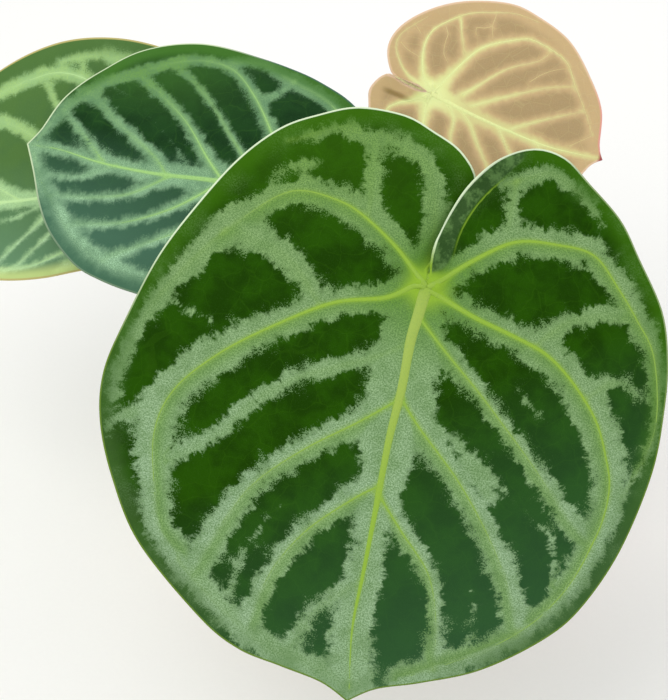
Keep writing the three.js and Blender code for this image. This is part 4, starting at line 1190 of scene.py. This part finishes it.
    # Rim: partly its own pale colour, partly a painted highlight, giving way to the lower colour across x
    # and down y
    dull = add("MapRange", x, *tones["dull_across"], 0.0, 0.8, **STEP)
    dull = add("MapRange", y, *tones["dull_down"], dull, 1.0, **STEP)
    rim = add("Mix", dull, tones["rim"], tones["rim_low"], **TINT)
    rim = add("Mix", add("MapRange", near, 17.0, 7.0, **STEP), rim, tones["rib"], **TINT)
    base = add("Mix", add("MapRange", margin, *tones["rim_reach"], **STEP), base, rim, **TINT)
    return surfaced(material, add, base, 0.7, fine, 0.1, Specular_IOR_Level=tones["gloss"])


def leaf_underside(name, flesh, vein):
    """Lower face of a blade. It gives the eye a matt pale green with lighter veins and a fine net."""
    material, add = new_material(name)
    tint, _, margin = add("SeparateXYZ", add("Attribute", attribute_name="looks", out=1), out=ALL)
    place = add("Attribute", attribute_name="place", out=1)
    net = add("TexVoronoi", place, 1 / UNDER_NET, feature="DISTANCE_TO_EDGE")
    net = add("MapRange", net, 0.12, 0.0, **STEP)
    fine = add("TexNoise", place, 1 / UNDER_GRAIN, 3.0, 0.6)
    dull = add("Mix", 0.35, flesh, linear("#4c6238"), **TINT)
    cloud = add("MapRange", add("TexNoise", place, 1 / UNDER_CLOUD, 2.0), 0.3, 0.7, **STEP)
    base = add("Mix", cloud, flesh, dull, **TINT)
    base = add("Mix", add("Math", net, 0.35, **TIMES), base, vein, **TINT)
    base = add("Mix", add("MapRange", tint, 0.02, 0.7, **STEP), base, vein, **TINT)
    base = add("Mix", add("MapRange", margin, 1.3, 0.3, 0.0, 0.8, **STEP), base, vein, **TINT)
    height = add("Math", net, 1.2, fine, **PLUS)
    return surfaced(material, add, base, 0.58, height, 0.2, Specular_IOR_Level=0.35)


def young_leaf(c):
    """Upper face of the young leaf. It gives the eye thin tan flesh that pales towards every vein and
    the rim, a bright glow round the junction, a faint net, a pinkish rim, a red point at the tip and
    painted shade as a brown line where the curled lobe folds."""
    material, add = new_material("Young leaf flesh")
    edge = add("SeparateXYZ", add("Attribute", attribute_name="band", out=1), out=2)
    tint, _, margin = add("SeparateXYZ", add("Attribute", attribute_name="looks", out=1), out=ALL)
    x, y, _ = add("SeparateXYZ", add("Attribute", attribute_name="place", out=1), out=ALL)
    flat = add("CombineXYZ", x, y, 0.0)
    near = add("VectorMath", flat, operation="LENGTH")
    fine = add("TexNoise", flat, 1 / YOUNG_GRAIN, 3.0, 0.7)
    sway = add("Math", add("TexNoise", flat, 1 / YOUNG_SWAY, 2.0), 0.5, operation="SUBTRACT")
    edge = add("Math", sway, 2.0, edge, **PLUS)
    net = add("TexVoronoi", flat, 1 / YOUNG_NET, feature="DISTANCE_TO_EDGE")
    net = add("MapRange", net, 0.035, 0.0, **STEP)
    inner = add("MapRange", margin, 3.0, 9.0, 0.15, 1.0, **STEP)
    core = add("MapRange", edge, -0.4, 3.2, 0.0, inner, **STEP)
    base = add("Mix", core, c.flesh_warm, c.flesh, **TINT)
    base = add("Mix", add("MapRange", fine, 0.4, 0.7, 0.0, 0.22, **STEP), base, c.flesh_warm, **TINT)
    base = add("Mix", add("Math", net, 0.12, **TIMES), base, c.glow, **TINT)
    base = add("Mix", add("MapRange", edge, 0.9, -1.6, 0.0, 0.85, **STEP), base, c.glow, **TINT)
    beside = add("MapRange", edge, 1.5, -2.0, 0.0, 0.9, **STEP)
    base = add("Mix", add("MapRange", near, 19.0, 1.0, 0.0, beside, **STEP), base, c.vein, **TINT)
    base = add("Mix", add("MapRange", tint, 0.05, 0.8, **STEP), base, c.vein, **TINT)
    # Painted shade: a brown line where the curled lobe folds
    crease_at = add("Math", add("Math", x, 5.6, operation="ADD"), operation="ABSOLUTE")
    crease_shade = add("MapRange", y, 5.0, 12.0, 0.0, 0.7, **STEP)
    crease_shade = add("MapRange", crease_at, 1.7, 0.2, 0.0, crease_shade, **STEP)
    base = add("Mix", add("MapRange", y, 21.0, 16.0, 0.0, crease_shade, **STEP), base, c.crease_shade, **TINT)
    by_tip = add("MapRange", y, -58.0, -72.0, 0.0, add("MapRange", x, -2.0, 3.0, **STEP), **STEP)
    rim = add("Mix", by_tip, c.rim, c.tip_rim, **TINT)
    base = add("Mix", add("MapRange", margin, 0.9, 0.2, **STEP), base, rim, **TINT)
    base = add("Mix", add("MapRange", y, -72.6, -74.6, **STEP), base, c.tip, **TINT)
    height = add("Math", net, 0.25, fine, **PLUS)
    return surfaced(
        material, add, base, 0.5, height, 0.12, Sheen_Weight=0.08, Sheen_Roughness=0.4,
        Specular_IOR_Level=0.25, Subsurface_Weight=0.15,
        Subsurface_Radius=(3 * MM, 2.2 * MM, 1.2 * MM), Subsurface_Scale=1.0)


def vein_flesh(name, first, middle, last):
    """Firm main veins. They give the eye a smooth waxy cord that fades into the blade's green."""
    material, add = new_material(name)
    share = add("Attribute", attribute_name="share", out=2)
    fine = add("TexNoise", add("TexCoord", out=3), per_metre(VEIN_GRAIN), 2.0, 0.6)
    base = add("Mix", add("MapRange", share, 0.1, 0.45, **STEP), first, middle, **TINT)
    base = add("Mix", add("MapRange", share, 0.45, 0.95, **STEP), base, last, **TINT)
    base = add("Mix", add("MapRange", fine, 0.45, 0.7, 0.0, 0.25, **STEP), base, last, **TINT)
    return surfaced(material, add, base, 0.5, fine, 0.08, Specular_IOR_Level=0.2)


def stalk_skin(c):
    """Skin of the stalks. It gives the eye smooth green cords with fine streaks and small pale corky
    dashes, browner at the foot and paler at the knuckle."""
    material, add = new_material("Stalk skin")
    share = add("Attribute", attribute_name="share", out=2)
    turn = add("Math", add("Attribute", attribute_name="turn", out=2), 2 * math.pi, **TIMES)
    streak_at = add(
        "CombineXYZ", add("Math", turn, operation="SINE"), add("Math", turn, operation="COSINE"),
        add("Math", share, 3.0, **TIMES))
    streak = add("TexNoise", streak_at, 5.0, 3.0, 0.6)
    dash_at = add("VectorMath", add("TexCoord", out=3), per_metre(STALK_DASH), **TIMES)
    dash = add("MapRange", add("TexNoise", dash_at, 1.0, 1.0), 0.7, 0.78, **STEP)
    base = add("Mix", add("MapRange", share, 0.72, 0.97, **STEP), c.green, c.pale, **TINT)
    base = add("Mix", add("MapRange", share, 0.2, 0.02, **STEP), base, c.brown, **TINT)
    base = add("Mix", add("MapRange", streak, 0.4, 0.75, 0.0, 0.45, **STEP), base, c.brown, **TINT)
    base = add("Mix", add("Math", dash, 0.5, **TIMES), base, c.pale, **TINT)
    height = add("Math", dash, 0.8, streak, **PLUS)
    return surfaced(material, add, base, 0.4, height, 0.25, Specular_IOR_Level=0.45)


def crown_skin(c):
    """Skin of the crown. It gives the eye a knobbly green-brown stump ringed by dry leaf scars."""
    material, add = new_material("Stem base skin")
    spot = add("TexCoord", out=3)
    rough = add("TexNoise", spot, per_metre(CROWN_LUMP), 4.0, 0.65)
    height = add("SeparateXYZ", spot, out=2)
    wobble = add("Math", rough, 2.0, **TIMES)
    ring_at = add("Math", height, 2 * math.pi * per_metre(SCAR_SPACING), wobble, **PLUS)
    scar = add("MapRange", add("Math", ring_at, operation="SINE"), 0.2, 0.9, **STEP)
    base = add("Mix", add("MapRange", rough, 0.35, 0.7, **STEP), c.crown, c.green, **TINT)
    base = add("Mix", add("Math", scar, 0.8, **TIMES), base, c.scar, **TINT)
    relief = add("Math", scar, 0.6, rough, **PLUS)
    return surfaced(material, add, base, 0.75, relief, 0.8, Specular_IOR_Level=0.25)


def potting_mix(c):
    """Fine part of the potting mix. It gives the eye dark damp crumbs with paler fibres."""
    material, add = new_material("Peat and fibre")
    spot = add("TexCoord", out=3)
    crumb = add("TexVoronoi", spot, per_metre(PEAT_CRUMB))
    fine = add("TexNoise", spot, per_metre(PEAT_GRAIN), 3.0, 0.7)
    fibre = add("TexNoise", add("VectorMath", spot, per_metre(PEAT_FIBRE), **TIMES), 1.0, 2.0)
    base = add("Mix", add("MapRange", fine, 0.3, 0.75, **STEP), c.peat, c.bark_dark, **TINT)
    base = add("Mix", add("MapRange", fibre, 0.62, 0.75, 0.0, 0.6, **STEP), base, c.bark, **TINT)
    relief = add("Math", crumb, -1.2, fine, **PLUS)
    return surfaced(material, add, base, 0.92, relief, 1.4, Specular_IOR_Level=0.2)


def bark_chips(c):
    """Bark chips. They give the eye split brown wood with dark weathered sides."""
    material, add = new_material("Bark chips")
    tone = add("Attribute", attribute_name="tone", out=2)
    layer_at = add("VectorMath", add("TexCoord", out=3), per_metre(BARK_LAYER), **TIMES)
    layer = add("TexNoise", layer_at, 1.0, 3.0, 0.65)
    base = add("Mix", tone, c.bark_dark, c.bark, **TINT)
    base = add("Mix", add("MapRange", layer, 0.45, 0.7, 0.0, 0.7, **STEP), base, c.bark_dark, **TINT)
    return surfaced(material, add, base, 0.85, layer, 0.6, Specular_IOR_Level=0.25)


def perlite_grains(c):
    """Perlite grains. They give the eye small matt off-white crumbs with pores."""
    material, add = new_material("Perlite")
    pore = add("TexNoise", add("TexCoord", out=3), per_metre(PERLITE_PORE), 2.0, 0.6)
    hollow = add("MapRange", pore, 0.35, 0.6, 0.5, 0.0, **STEP)
    base = add("Mix", hollow, c.perlite, linear("#a8a294"), **TINT)
    return surfaced(material, add, base, 0.9, pore, 0.3, Specular_IOR_Level=0.3)


def fired_clay(c):
    """Clay of the pot. It gives the eye warm matt clay with turning lines, a chalky bloom in
    patches, damp darker clay low down and small pits."""
    material, add = new_material("Fired clay")
    spot = add("TexCoord", out=3)
    height = add("SeparateXYZ", spot, out=2)
    cloud = add("TexNoise", spot, per_metre(CLAY_BLOOM), 4.0, 0.6)
    fine = add("TexNoise", spot, per_metre(CLAY_GRAIN), 3.0, 0.65)
    lines = add("TexNoise", add("VectorMath", spot, per_metre(CLAY_LINE), **TIMES), 1.0, 2.0, 0.6)
    pit = add("MapRange", add("TexVoronoi", spot, per_metre(CLAY_PIT)), 0.16, 0.05, **STEP)
    base = add("Mix", add("MapRange", fine, 0.3, 0.7, 0.0, 0.35, **STEP), c.clay, c.clay_dark, **TINT)
    base = add("Mix", add("MapRange", lines, 0.35, 0.7, 0.0, 0.3, **STEP), base, c.clay_light, **TINT)
    base = add("Mix", add("MapRange", cloud, 0.5, 0.72, 0.0, 0.75, **STEP), base, c.clay_light, **TINT)
    damp = add("Math", cloud, 30 * MM, height, **PLUS)
    damp = add("MapRange", damp, 40 * MM, 12 * MM, 0.0, 0.6, **STEP)
    base = add("Mix", damp, base, c.clay_dark, **TINT)
    base = add("Mix", add("Math", pit, 0.5, **TIMES), base, c.clay_dark, **TINT)
    relief = add("Math", lines, 1.2, add("Math", pit, -1.0, fine, **PLUS), **PLUS)
    rough = add("MapRange", cloud, 0.3, 0.7, 0.78, 0.9, **STEP)
    return surfaced(material, add, base, rough, relief, 0.3, Specular_IOR_Level=0.3)


def pale_floor(c):
    """Studio floor. It gives the eye an even pale matt ground with a very faint paper grain."""
    material, add = new_material("Pale studio floor")
    fine = add("TexNoise", add("TexCoord", out=3), per_metre(PAPER_GRAIN), 2.0)
    shade = add("MapRange", fine, 0.3, 0.7, 0.0, 0.03, **STEP)
    base = add("Mix", shade, c.floor, linear("#d8d8d4"), **TINT)
    return surfaced(material, add, base, 0.9, fine, 0.05, Specular_IOR_Level=0.1)


# Tones of the grown leaves beside their colours, in the leaf's frame and in mm. Fall, how far the
# silver has gone from its high to its low colour, and bloom_and_sheen, how far the velvet has turned
# to the bluish colour of a painted sheen, are factors of x and y and a constant. The painted_backlight,
# where painted light shines through the blade, is from and to x, from and to y, and its most. The
# verge starts and is full at its first two reaches from the rim, up to its share, and is clear of the
# tip between two y. The rim, whose pale high colour is partly a painted highlight, turns from its
# high to its low colour between two x, and fully between two y. The side_shade_share is the most of
# the greener side of each band, which is painted shade, fray how far the bands' edges wander, dust
# the most of the margin's silver grain, softness the width of the edges high and low on the leaf, and
# gloss the sheen.
def green_tones(c):
    """Tones of the large leaf."""
    return {
        "dark": c.dark, "deep": c.deep, "cool": c.cool, "warm": c.warm, "silver": c.silver,
        "silver_high": c.silver_high, "silver_backlit": c.silver_backlit,
        "shade": c.silver_shade, "glint": c.glint,
        "thin": c.thin, "olive": c.olive, "hub": c.hub, "rib": c.rib, "rim": c.rim,
        "rim_low": c.rim_low, "strip": c.strip, "verge_high": c.warm, "verge_low": c.verge,
        "side_shade_share": 0.7, "fray": 1.0, "dust": 0.8, "softness": (1.0, 1.0), "gloss": 0.03,
        "fall": (0.0, -0.0143, -0.07), "bloom_and_sheen": (0.005, -0.008, -0.35),
        "painted_backlight": (45.0, -60.0, 0.0, 42.0, 0.35), "hub_reach": 34.0,
        "verge_reach": (9.0, 1.0, 0.6), "clear": (-138.0, -112.0), "rim_reach": (0.45, 0.2),
        "dull_across": (34.0, 52.0), "dull_down": (8.0, -45.0)}


def left_tones(c):
    """Tones of the left leaf, cooler and softer than the large one's."""
    return {
        "dark": c.left_dark, "deep": c.left_deep, "cool": c.left_cool, "warm": c.left_warm,
        "silver": c.left_silver, "silver_high": c.left_silver_high, "silver_backlit": c.left_silver_warm,
        "shade": c.left_shade, "glint": c.left_silver, "thin": c.left_shade,
        "olive": c.left_olive, "hub": c.left_olive, "rib": c.left_rib, "rim": c.left_rim,
        "rim_low": c.left_cool, "strip": c.left_cool, "verge_high": c.left_warm,
        "verge_low": c.left_verge, "side_shade_share": 0.35, "fray": 0.6, "dust": 0.3,
        "softness": (1.5, 2.2), "gloss": 0.05,
        "fall": (0.02, 0.0, 0.5), "bloom_and_sheen": (0.022, -0.002, 0.1),
        "painted_backlight": (-14.0, -46.0, -14.0, -72.0, 0.4), "hub_reach": 14.0,
        "verge_reach": (8.0, 3.0, 0.75), "clear": (-112.0, -92.0), "rim_reach": (0.6, 0.3),
        "dull_across": (0.0, 45.0), "dull_down": (-60.0, -20.0)}


def far_tones(c):
    """Tones of the far leaf, pale partly from painted light shining through it, and yellowing at its rim.
    """
    return {
        "dark": c.far_dark, "deep": c.far_deep, "cool": c.far_cool, "warm": c.far_dark,
        "silver": c.far_silver, "silver_high": c.far_silver_high, "silver_backlit": c.far_silver_high,
        "shade": c.far_shade, "glint": c.far_silver, "thin": c.far_shade,
        "olive": c.far_silver_high, "hub": c.far_silver_high, "rib": c.far_rib, "rim": c.far_rim,
        "rim_low": c.far_rim, "strip": c.far_dark, "verge_high": c.far_dark,
        "verge_low": c.far_verge, "side_shade_share": 0.4, "fray": 0.5, "dust": 0.15,
        "softness": (1.8, 2.0), "gloss": 0.1,
        "fall": (0.02, 0.0, 0.5), "bloom_and_sheen": (0.016, 0.0, 0.25),
        "painted_backlight": (0.0, -60.0, -30.0, -90.0, 0.5), "hub_reach": 14.0,
        "verge_reach": (9.0, 1.5, 0.7), "clear": (-118.0, -100.0), "rim_reach": (0.7, 0.3),
        "dull_across": (-20.0, 30.0), "dull_down": (-300.0, -400.0)}


class PLANT_OT_large_leaf(bpy.types.Operator):
    """Build the large velvety leaf with its silver bands and raised veins"""

    bl_idname = "plant.large_leaf"
    bl_label = "Large leaf"

    def execute(self, context):
        sizes, c = context.scene.plant_sizes, context.scene.plant_green
        upper = velvet_leaf("Velvet leaf", green_tones(c))
        lower = leaf_underside("Leaf underside", c.under, c.under_vein)
        veins = vein_flesh("Green veins", c.midrib, c.rib, c.rib_end)
        seat(blade_mesh(LARGE, sizes, [upper, lower]), LARGE["node"])
        seat(vein_mesh(LARGE, sizes, veins), LARGE["node"])
        return {"FINISHED"}


class PLANT_OT_left_leaves(bpy.types.Operator):
    """Build the cooler left leaf and the paler leaf behind it"""

    bl_idname = "plant.left_leaves"
    bl_label = "Left leaves"

    def execute(self, context):
        sizes, c = context.scene.plant_sizes, context.scene.plant_far
        for leaf, tones in ((LEFT, left_tones(c)), (FAR_LEFT, far_tones(c))):
            name = leaf["node"].removeprefix("blade_").replace("_", " ")
            upper = velvet_leaf(f"Velvet of the {name} leaf", tones)
            lower = leaf_underside(f"Underside of the {name} leaf", tones["shade"], tones["rib"])
            veins = vein_flesh(f"Veins of the {name} leaf", tones["rib"], tones["rib"], tones["olive"])
            seat(blade_mesh(leaf, sizes, [upper, lower]), leaf["node"])
            seat(vein_mesh(leaf, sizes, veins), leaf["node"])
        return {"FINISHED"}


class PLANT_OT_young_leaf(bpy.types.Operator):
    """Build the thin tan young leaf with its glowing veins"""

    bl_idname = "plant.young_leaf"
    bl_label = "Young leaf"

    def execute(self, context):
        sizes, c = context.scene.plant_sizes, context.scene.plant_young
        lower = leaf_underside("Underside of the young leaf", c.under, c.glow)
        veins = vein_flesh("Young veins", c.vein, c.vein, c.vein_end)
        seat(blade_mesh(YOUNG, sizes, [young_leaf(c), lower]), YOUNG["node"])
        seat(vein_mesh(YOUNG, sizes, veins), YOUNG["node"])
        return {"FINISHED"}


class PLANT_OT_stalks(bpy.types.Operator):
    """Build the four stalks"""

    bl_idname = "plant.stalks"
    bl_label = "Stalks"

    def execute(self, context):
        skin = stalk_skin(context.scene.plant_stalks)
        for stalk in STALKS:
            seat(stalk_mesh(stalk, context.scene.plant_sizes, skin), stalk["node"])
        return {"FINISHED"}


def pot_inside(height):
    """Inner radius of the pot in mm, which grows evenly from its floor to its top."""
    low, high = POT_INSIDE
    return low + (high - low) * (height - POT_FLOOR) / (POT_TOP - POT_FLOOR)


def pot_mesh(material):
    """The pot: a lathe of its rounded wall profile, with four drain holes cut through its floor."""
    corner_radius, spacing, sides = 1.5, 2.0, 160
    corners = [
        (0, 0), (POT_FOOT, 0), (POT_NECK, POT_STEP), (POT_RIM, POT_STEP), (POT_RIM, POT_TOP),
        (pot_inside(POT_TOP), POT_TOP), (pot_inside(POT_FLOOR), POT_FLOOR), (0, POT_FLOOR)]
    profile = dense_profile(rounded_profile(corners, corner_radius), spacing)

    def turned(r, z, a):
        """Thrown clay: the radius waves by up to 0.16 mm round the wall, but not on the axis."""
        wave = 0.1 * np.sin(3 * a + 0.05 * z) + 0.06 * np.sin(2 * a - 0.11 * z)
        return r + wave * smoothstep(r, 5, 40), z

    points, faces = lathe(profile, sides, turned)
    pot = make_piece("pot_clay", points, faces, [material])
    radius, ring, depth = DRAIN_RADIUS * MM, DRAIN_RING * MM, 4 * POT_FLOOR * MM
    for number in range(DRAINS):
        angle = 2 * math.pi * (number + 0.5) / DRAINS
        bit = bmesh.new()
        place = Matrix.Translation(
            (ring * math.cos(angle), ring * math.sin(angle), POT_FLOOR / 2 * MM))
        bmesh.ops.create_cone(
            bit, cap_ends=True, segments=40, radius1=radius, radius2=radius, depth=depth, matrix=place)
        mesh = bpy.data.meshes.new("drain_bit")
        bit.to_mesh(mesh)
        bit.free()
        cutter = bpy.data.objects.new("drain_bit", mesh)
        bpy.context.scene.collection.objects.link(cutter)
        cut = pot.modifiers.new("drain", "BOOLEAN")
        cut.object, cut.operation, cut.solver = cutter, "DIFFERENCE", "EXACT"
        bpy.context.view_layer.update()
        holed = bpy.data.meshes.new_from_object(pot.evaluated_get(bpy.context.evaluated_depsgraph_get()))
        pot.modifiers.clear()
        old, pot.data = pot.data, holed
        bpy.data.meshes.remove(old)
        bpy.data.objects.remove(cutter)
        bpy.data.meshes.remove(mesh)
    return pot


def soil_height(x, y, edge):
    """Height of the potting mix: base + mound (1 - share^2), with share the radius over the edge's,
    plus lumps of two crossed waves that die away towards the pot."""
    radius = np.hypot(x, y)
    inner = 1 - smoothstep(radius, 0.85 * edge, 0.98 * edge)
    lumps = np.sin(0.31 * x + 1.3 * np.sin(0.23 * y)) + np.sin(0.37 * y)
    return MIX_EDGE + MIX_MOUND * (1 - (radius / edge) ** 2) + MIX_LUMPS * inner * lumps


def soil_mesh(material):
    """The potting mix: a lathe that fills the pot, whose top follows the mix's height."""
    rings, sides, spacing = 48, 144, 8
    edge = pot_inside(MIX_EDGE) - MIX_GAP
    top = np.stack([np.linspace(edge, 0, rings), np.full(rings, float(MIX_EDGE))], 1)
    wall = np.array([[pot_inside(MIX_FOOT) - MIX_GAP, MIX_FOOT], [edge, MIX_EDGE]])
    profile = np.vstack([[[0, MIX_FOOT]], dense_profile(wall, spacing), top[1:]])

    def heaped(r, z, a):
        """Crumbly top: small crossed waves on top of the mix's own height."""
        x, y = r * np.cos(a), r * np.sin(a)
        crumbs = np.sin(2.1 * x + 1.7 * np.sin(1.3 * y)) * np.sin(1.9 * y + np.sin(1.1 * x))
        heap = soil_height(x, y, edge) + MIX_CRUMBS * crumbs * smoothstep(edge - r, 0, 3)
        return r, np.where(z > MIX_EDGE - 0.01, heap, z)

    points, faces = lathe(profile, sides, heaped)
    return make_piece("soil_mix", points, faces, [material])


def scattered(name, material, count, size, flatness, seed):
    """Crumbs on the potting mix: lumps of eighteen faces, each a jittered, squashed, tilted and spun
    copy of one two-row lathe, laid at seeded random places outside the crown. The root of an even
    spread of squares gives radii that fill the ground evenly."""
    jitter, steepest, sink = 0.28, 0.5, 0.25
    rng = np.random.default_rng(seed)
    edge = pot_inside(MIX_EDGE) - POT_CLEAR
    radius = np.sqrt(rng.uniform(CROWN_CLEAR ** 2, edge ** 2, count))
    angle = rng.uniform(0, 2 * np.pi, count)
    x, y = radius * np.cos(angle), radius * np.sin(angle)
    big = size[0] + (size[1] - size[0]) * rng.random(count) ** 2
    turn = 2 * np.pi * np.arange(6) / 6
    lump = np.vstack([
        [[0, 0, -1]], np.stack([np.cos(turn), np.sin(turn), np.full(6, -0.45)], 1),
        np.stack([np.cos(turn + 0.5), np.sin(turn + 0.5), np.full(6, 0.45)], 1), [[0, 0, 1]]])
    points = np.repeat(lump[None], count, 0) * (1 + jitter * rng.uniform(-1, 1, (count, len(lump), 3)))
    width = big * rng.uniform(0.4, 0.9, count)
    height = big * flatness * rng.uniform(0.6, 1.3, count)
    points *= np.stack([big, width, height], 1)[:, None]
    tilt, spin = rng.uniform(-steepest, steepest, count), rng.uniform(0, 2 * np.pi, count)
    px, py, pz = np.moveaxis(points, 2, 0)
    px, pz = (
        px * np.cos(tilt)[:, None] - pz * np.sin(tilt)[:, None],
        px * np.sin(tilt)[:, None] + pz * np.cos(tilt)[:, None])
    px, py = (
        px * np.cos(spin)[:, None] - py * np.sin(spin)[:, None],
        px * np.sin(spin)[:, None] + py * np.cos(spin)[:, None])
    ground = soil_height(x, y, pot_inside(MIX_EDGE) - MIX_GAP) + sink * big * flatness
    points = np.stack([px + x[:, None], py + y[:, None], pz + ground[:, None]], 2).reshape(-1, 3)
    low = fan_faces(0, 1, 6, True)
    belt = grid_faces(2, 6) + 1
    high = fan_faces(13, 7, 6)
    starts = (np.arange(count) * len(lump))[:, None, None]
    faces = [(group[None] + starts).reshape(-1, group.shape[1]) for group in (low, belt, high)]
    tone = np.repeat(rng.random(count), len(lump))
    piece = make_piece(name, points, faces, [material], values={"tone": tone})
    piece.data.polygons.foreach_set("use_smooth", np.zeros(len(piece.data.polygons), bool))
    return piece


def crown_mesh(material):
    """The crown: a lathe of radius r (1 - 0.25 (1 - t)^2 - 0.45 smoothstep(t, 0.8, 1.05)) at the
    share t of its height, plus ridges |sin|^1.5 for the leaf scars, a little lumpy round its axis."""
    rows, sides, corner_radius = 79, 72, 2
    t = np.linspace(0, 1, rows)
    scars = SCAR_RIDGE * np.abs(np.sin(SCAR_RINGS * np.pi * t)) ** 1.5
    radius = CROWN_RADIUS * (1 - 0.25 * (1 - t) ** 2 - 0.45 * smoothstep(t, 0.8, 1.05)) + scars
    wall = np.stack([radius, CROWN_FOOT + (CROWN_EDGE - CROWN_FOOT) * t], 1)[:-1]
    cap = rounded_profile(
        [(radius[-1], CROWN_EDGE), (radius[-1] * 0.9, CROWN_TOP), (0, CROWN_TOP)], corner_radius)[1:]
    profile = np.vstack([[[0, CROWN_FOOT]], wall, cap])

    def lumpy(r, z, a):
        """Lumps: the radius swells and shrinks by up to 0.35 mm, and less near the axis."""
        swell = 0.25 * np.sin(4 * a + 0.6 * z) + 0.1 * np.sin(9 * a - 0.9 * z)
        return r + swell * smoothstep(r, 0, 5), z

    points, faces = lathe(profile, sides, lumpy)
    return make_piece("crown_skin", points, faces, [material])


class PLANT_OT_crown(bpy.types.Operator):
    """Build the crown that the stalks grow from"""

    bl_idname = "plant.crown"
    bl_label = "Crown"

    def execute(self, context):
        seat(crown_mesh(crown_skin(context.scene.plant_stalks)), "crown")
        return {"FINISHED"}


class PLANT_OT_potting_mix(bpy.types.Operator):
    """Build the potting mix with its bark chips and perlite"""

    bl_idname = "plant.potting_mix"
    bl_label = "Potting mix"

    def execute(self, context):
        c = context.scene.plant_pot
        mix = soil_mesh(potting_mix(c))
        bark = scattered("soil_bark", bark_chips(c), count=420, size=(1.1, 3.6), flatness=0.4, seed=7)
        perlite = scattered(
            "soil_perlite", perlite_grains(c), count=130, size=(0.6, 1.7), flatness=0.8, seed=11)
        for piece in (mix, bark, perlite):
            seat(piece, "soil")
        return {"FINISHED"}


class PLANT_OT_pot(bpy.types.Operator):
    """Build the clay pot"""

    bl_idname = "plant.pot"
    bl_label = "Pot"

    def execute(self, context):
        seat(pot_mesh(fired_clay(context.scene.plant_pot)), "pot")
        return {"FINISHED"}


class PLANT_OT_stage(bpy.types.Operator):
    """Set the floor, the soft lights, the pale surroundings and the camera"""

    bl_idname = "plant.stage"
    bl_label = "Stage"

    def execute(self, context):
        scene = context.scene
        half, low = 3, -0.2 * MM
        corners = [(-half, -half, low), (half, -half, low), (half, half, low), (-half, half, low)]
        mesh = bpy.data.meshes.new("floor")
        mesh.from_pydata(corners, [], [(0, 1, 2, 3)])
        mesh.materials.append(pale_floor(scene.plant_pot))
        floor = bpy.data.objects.new("floor", mesh)
        scene.collection.objects.link(floor)
        for name, place, size, power, tint in LIGHTS:
            lamp = bpy.data.lights.new(name, "AREA")
            lamp.size, lamp.energy, lamp.color = size, power, tint
            light = bpy.data.objects.new(name, lamp)
            light.location = place
            towards = Vector(LIGHT_AIM) - Vector(place)
            light.rotation_euler = towards.to_track_quat("-Z", "Y").to_euler()
            scene.collection.objects.link(light)
        world = bpy.data.worlds.new("Pale room")
        world.use_nodes = True
        sky = world.node_tree.nodes["Background"].inputs
        sky["Color"].default_value = (1, 1, 1, 1)
        sky["Strength"].default_value = ROOM_LIGHT
        scene.world = world
        lens = bpy.data.cameras.new("camera")
        lens.lens = CAMERA_LENS
        camera = bpy.data.objects.new("camera", lens)
        camera.location = CAMERA_PLACE
        camera.rotation_euler = (math.radians(90 - CAMERA_ELEVATION), 0, 0)
        scene.collection.objects.link(camera)
        scene.camera = camera
        scene.view_settings.view_transform = "Standard"
        return {"FINISHED"}


class PLANT_PT_sidebar(bpy.types.Panel):
    """The plant's pieces, one button each"""

    bl_idname = "PLANT_PT_sidebar"
    bl_label = "Plant"
    bl_space_type = "VIEW_3D"
    bl_region_type = "UI"
    bl_category = "Plant"

    def draw(self, context):
        for piece in OPERATORS:
            self.layout.operator(piece.bl_idname)


GROUPS = {
    "plant_sizes": PlantSizes, "plant_green": GreenLeafColours, "plant_far": FarLeafColours,
    "plant_young": YoungLeafColours, "plant_stalks": StalkColours, "plant_pot": PotColours,
}
OPERATORS = [
    PLANT_OT_large_leaf, PLANT_OT_left_leaves, PLANT_OT_young_leaf, PLANT_OT_stalks, PLANT_OT_crown,
    PLANT_OT_potting_mix, PLANT_OT_pot, PLANT_OT_stage,
]


def register():
    for kind in (*GROUPS.values(), *OPERATORS, PLANT_PT_sidebar):
        bpy.utils.register_class(kind)
    for name, group in GROUPS.items():
        setattr(bpy.types.Scene, name, bpy.props.PointerProperty(type=group))


def unregister():
    for name in GROUPS:
        delattr(bpy.types.Scene, name)
    for kind in reversed((*GROUPS.values(), *OPERATORS, PLANT_PT_sidebar)):
        bpy.utils.unregister_class(kind)


def main():
    register()
    for piece in OPERATORS:
        getattr(bpy.ops.plant, piece.bl_idname.removeprefix("plant."))()
    bpy.context.view_layer.update()


if __name__ == "__main__":
    main()
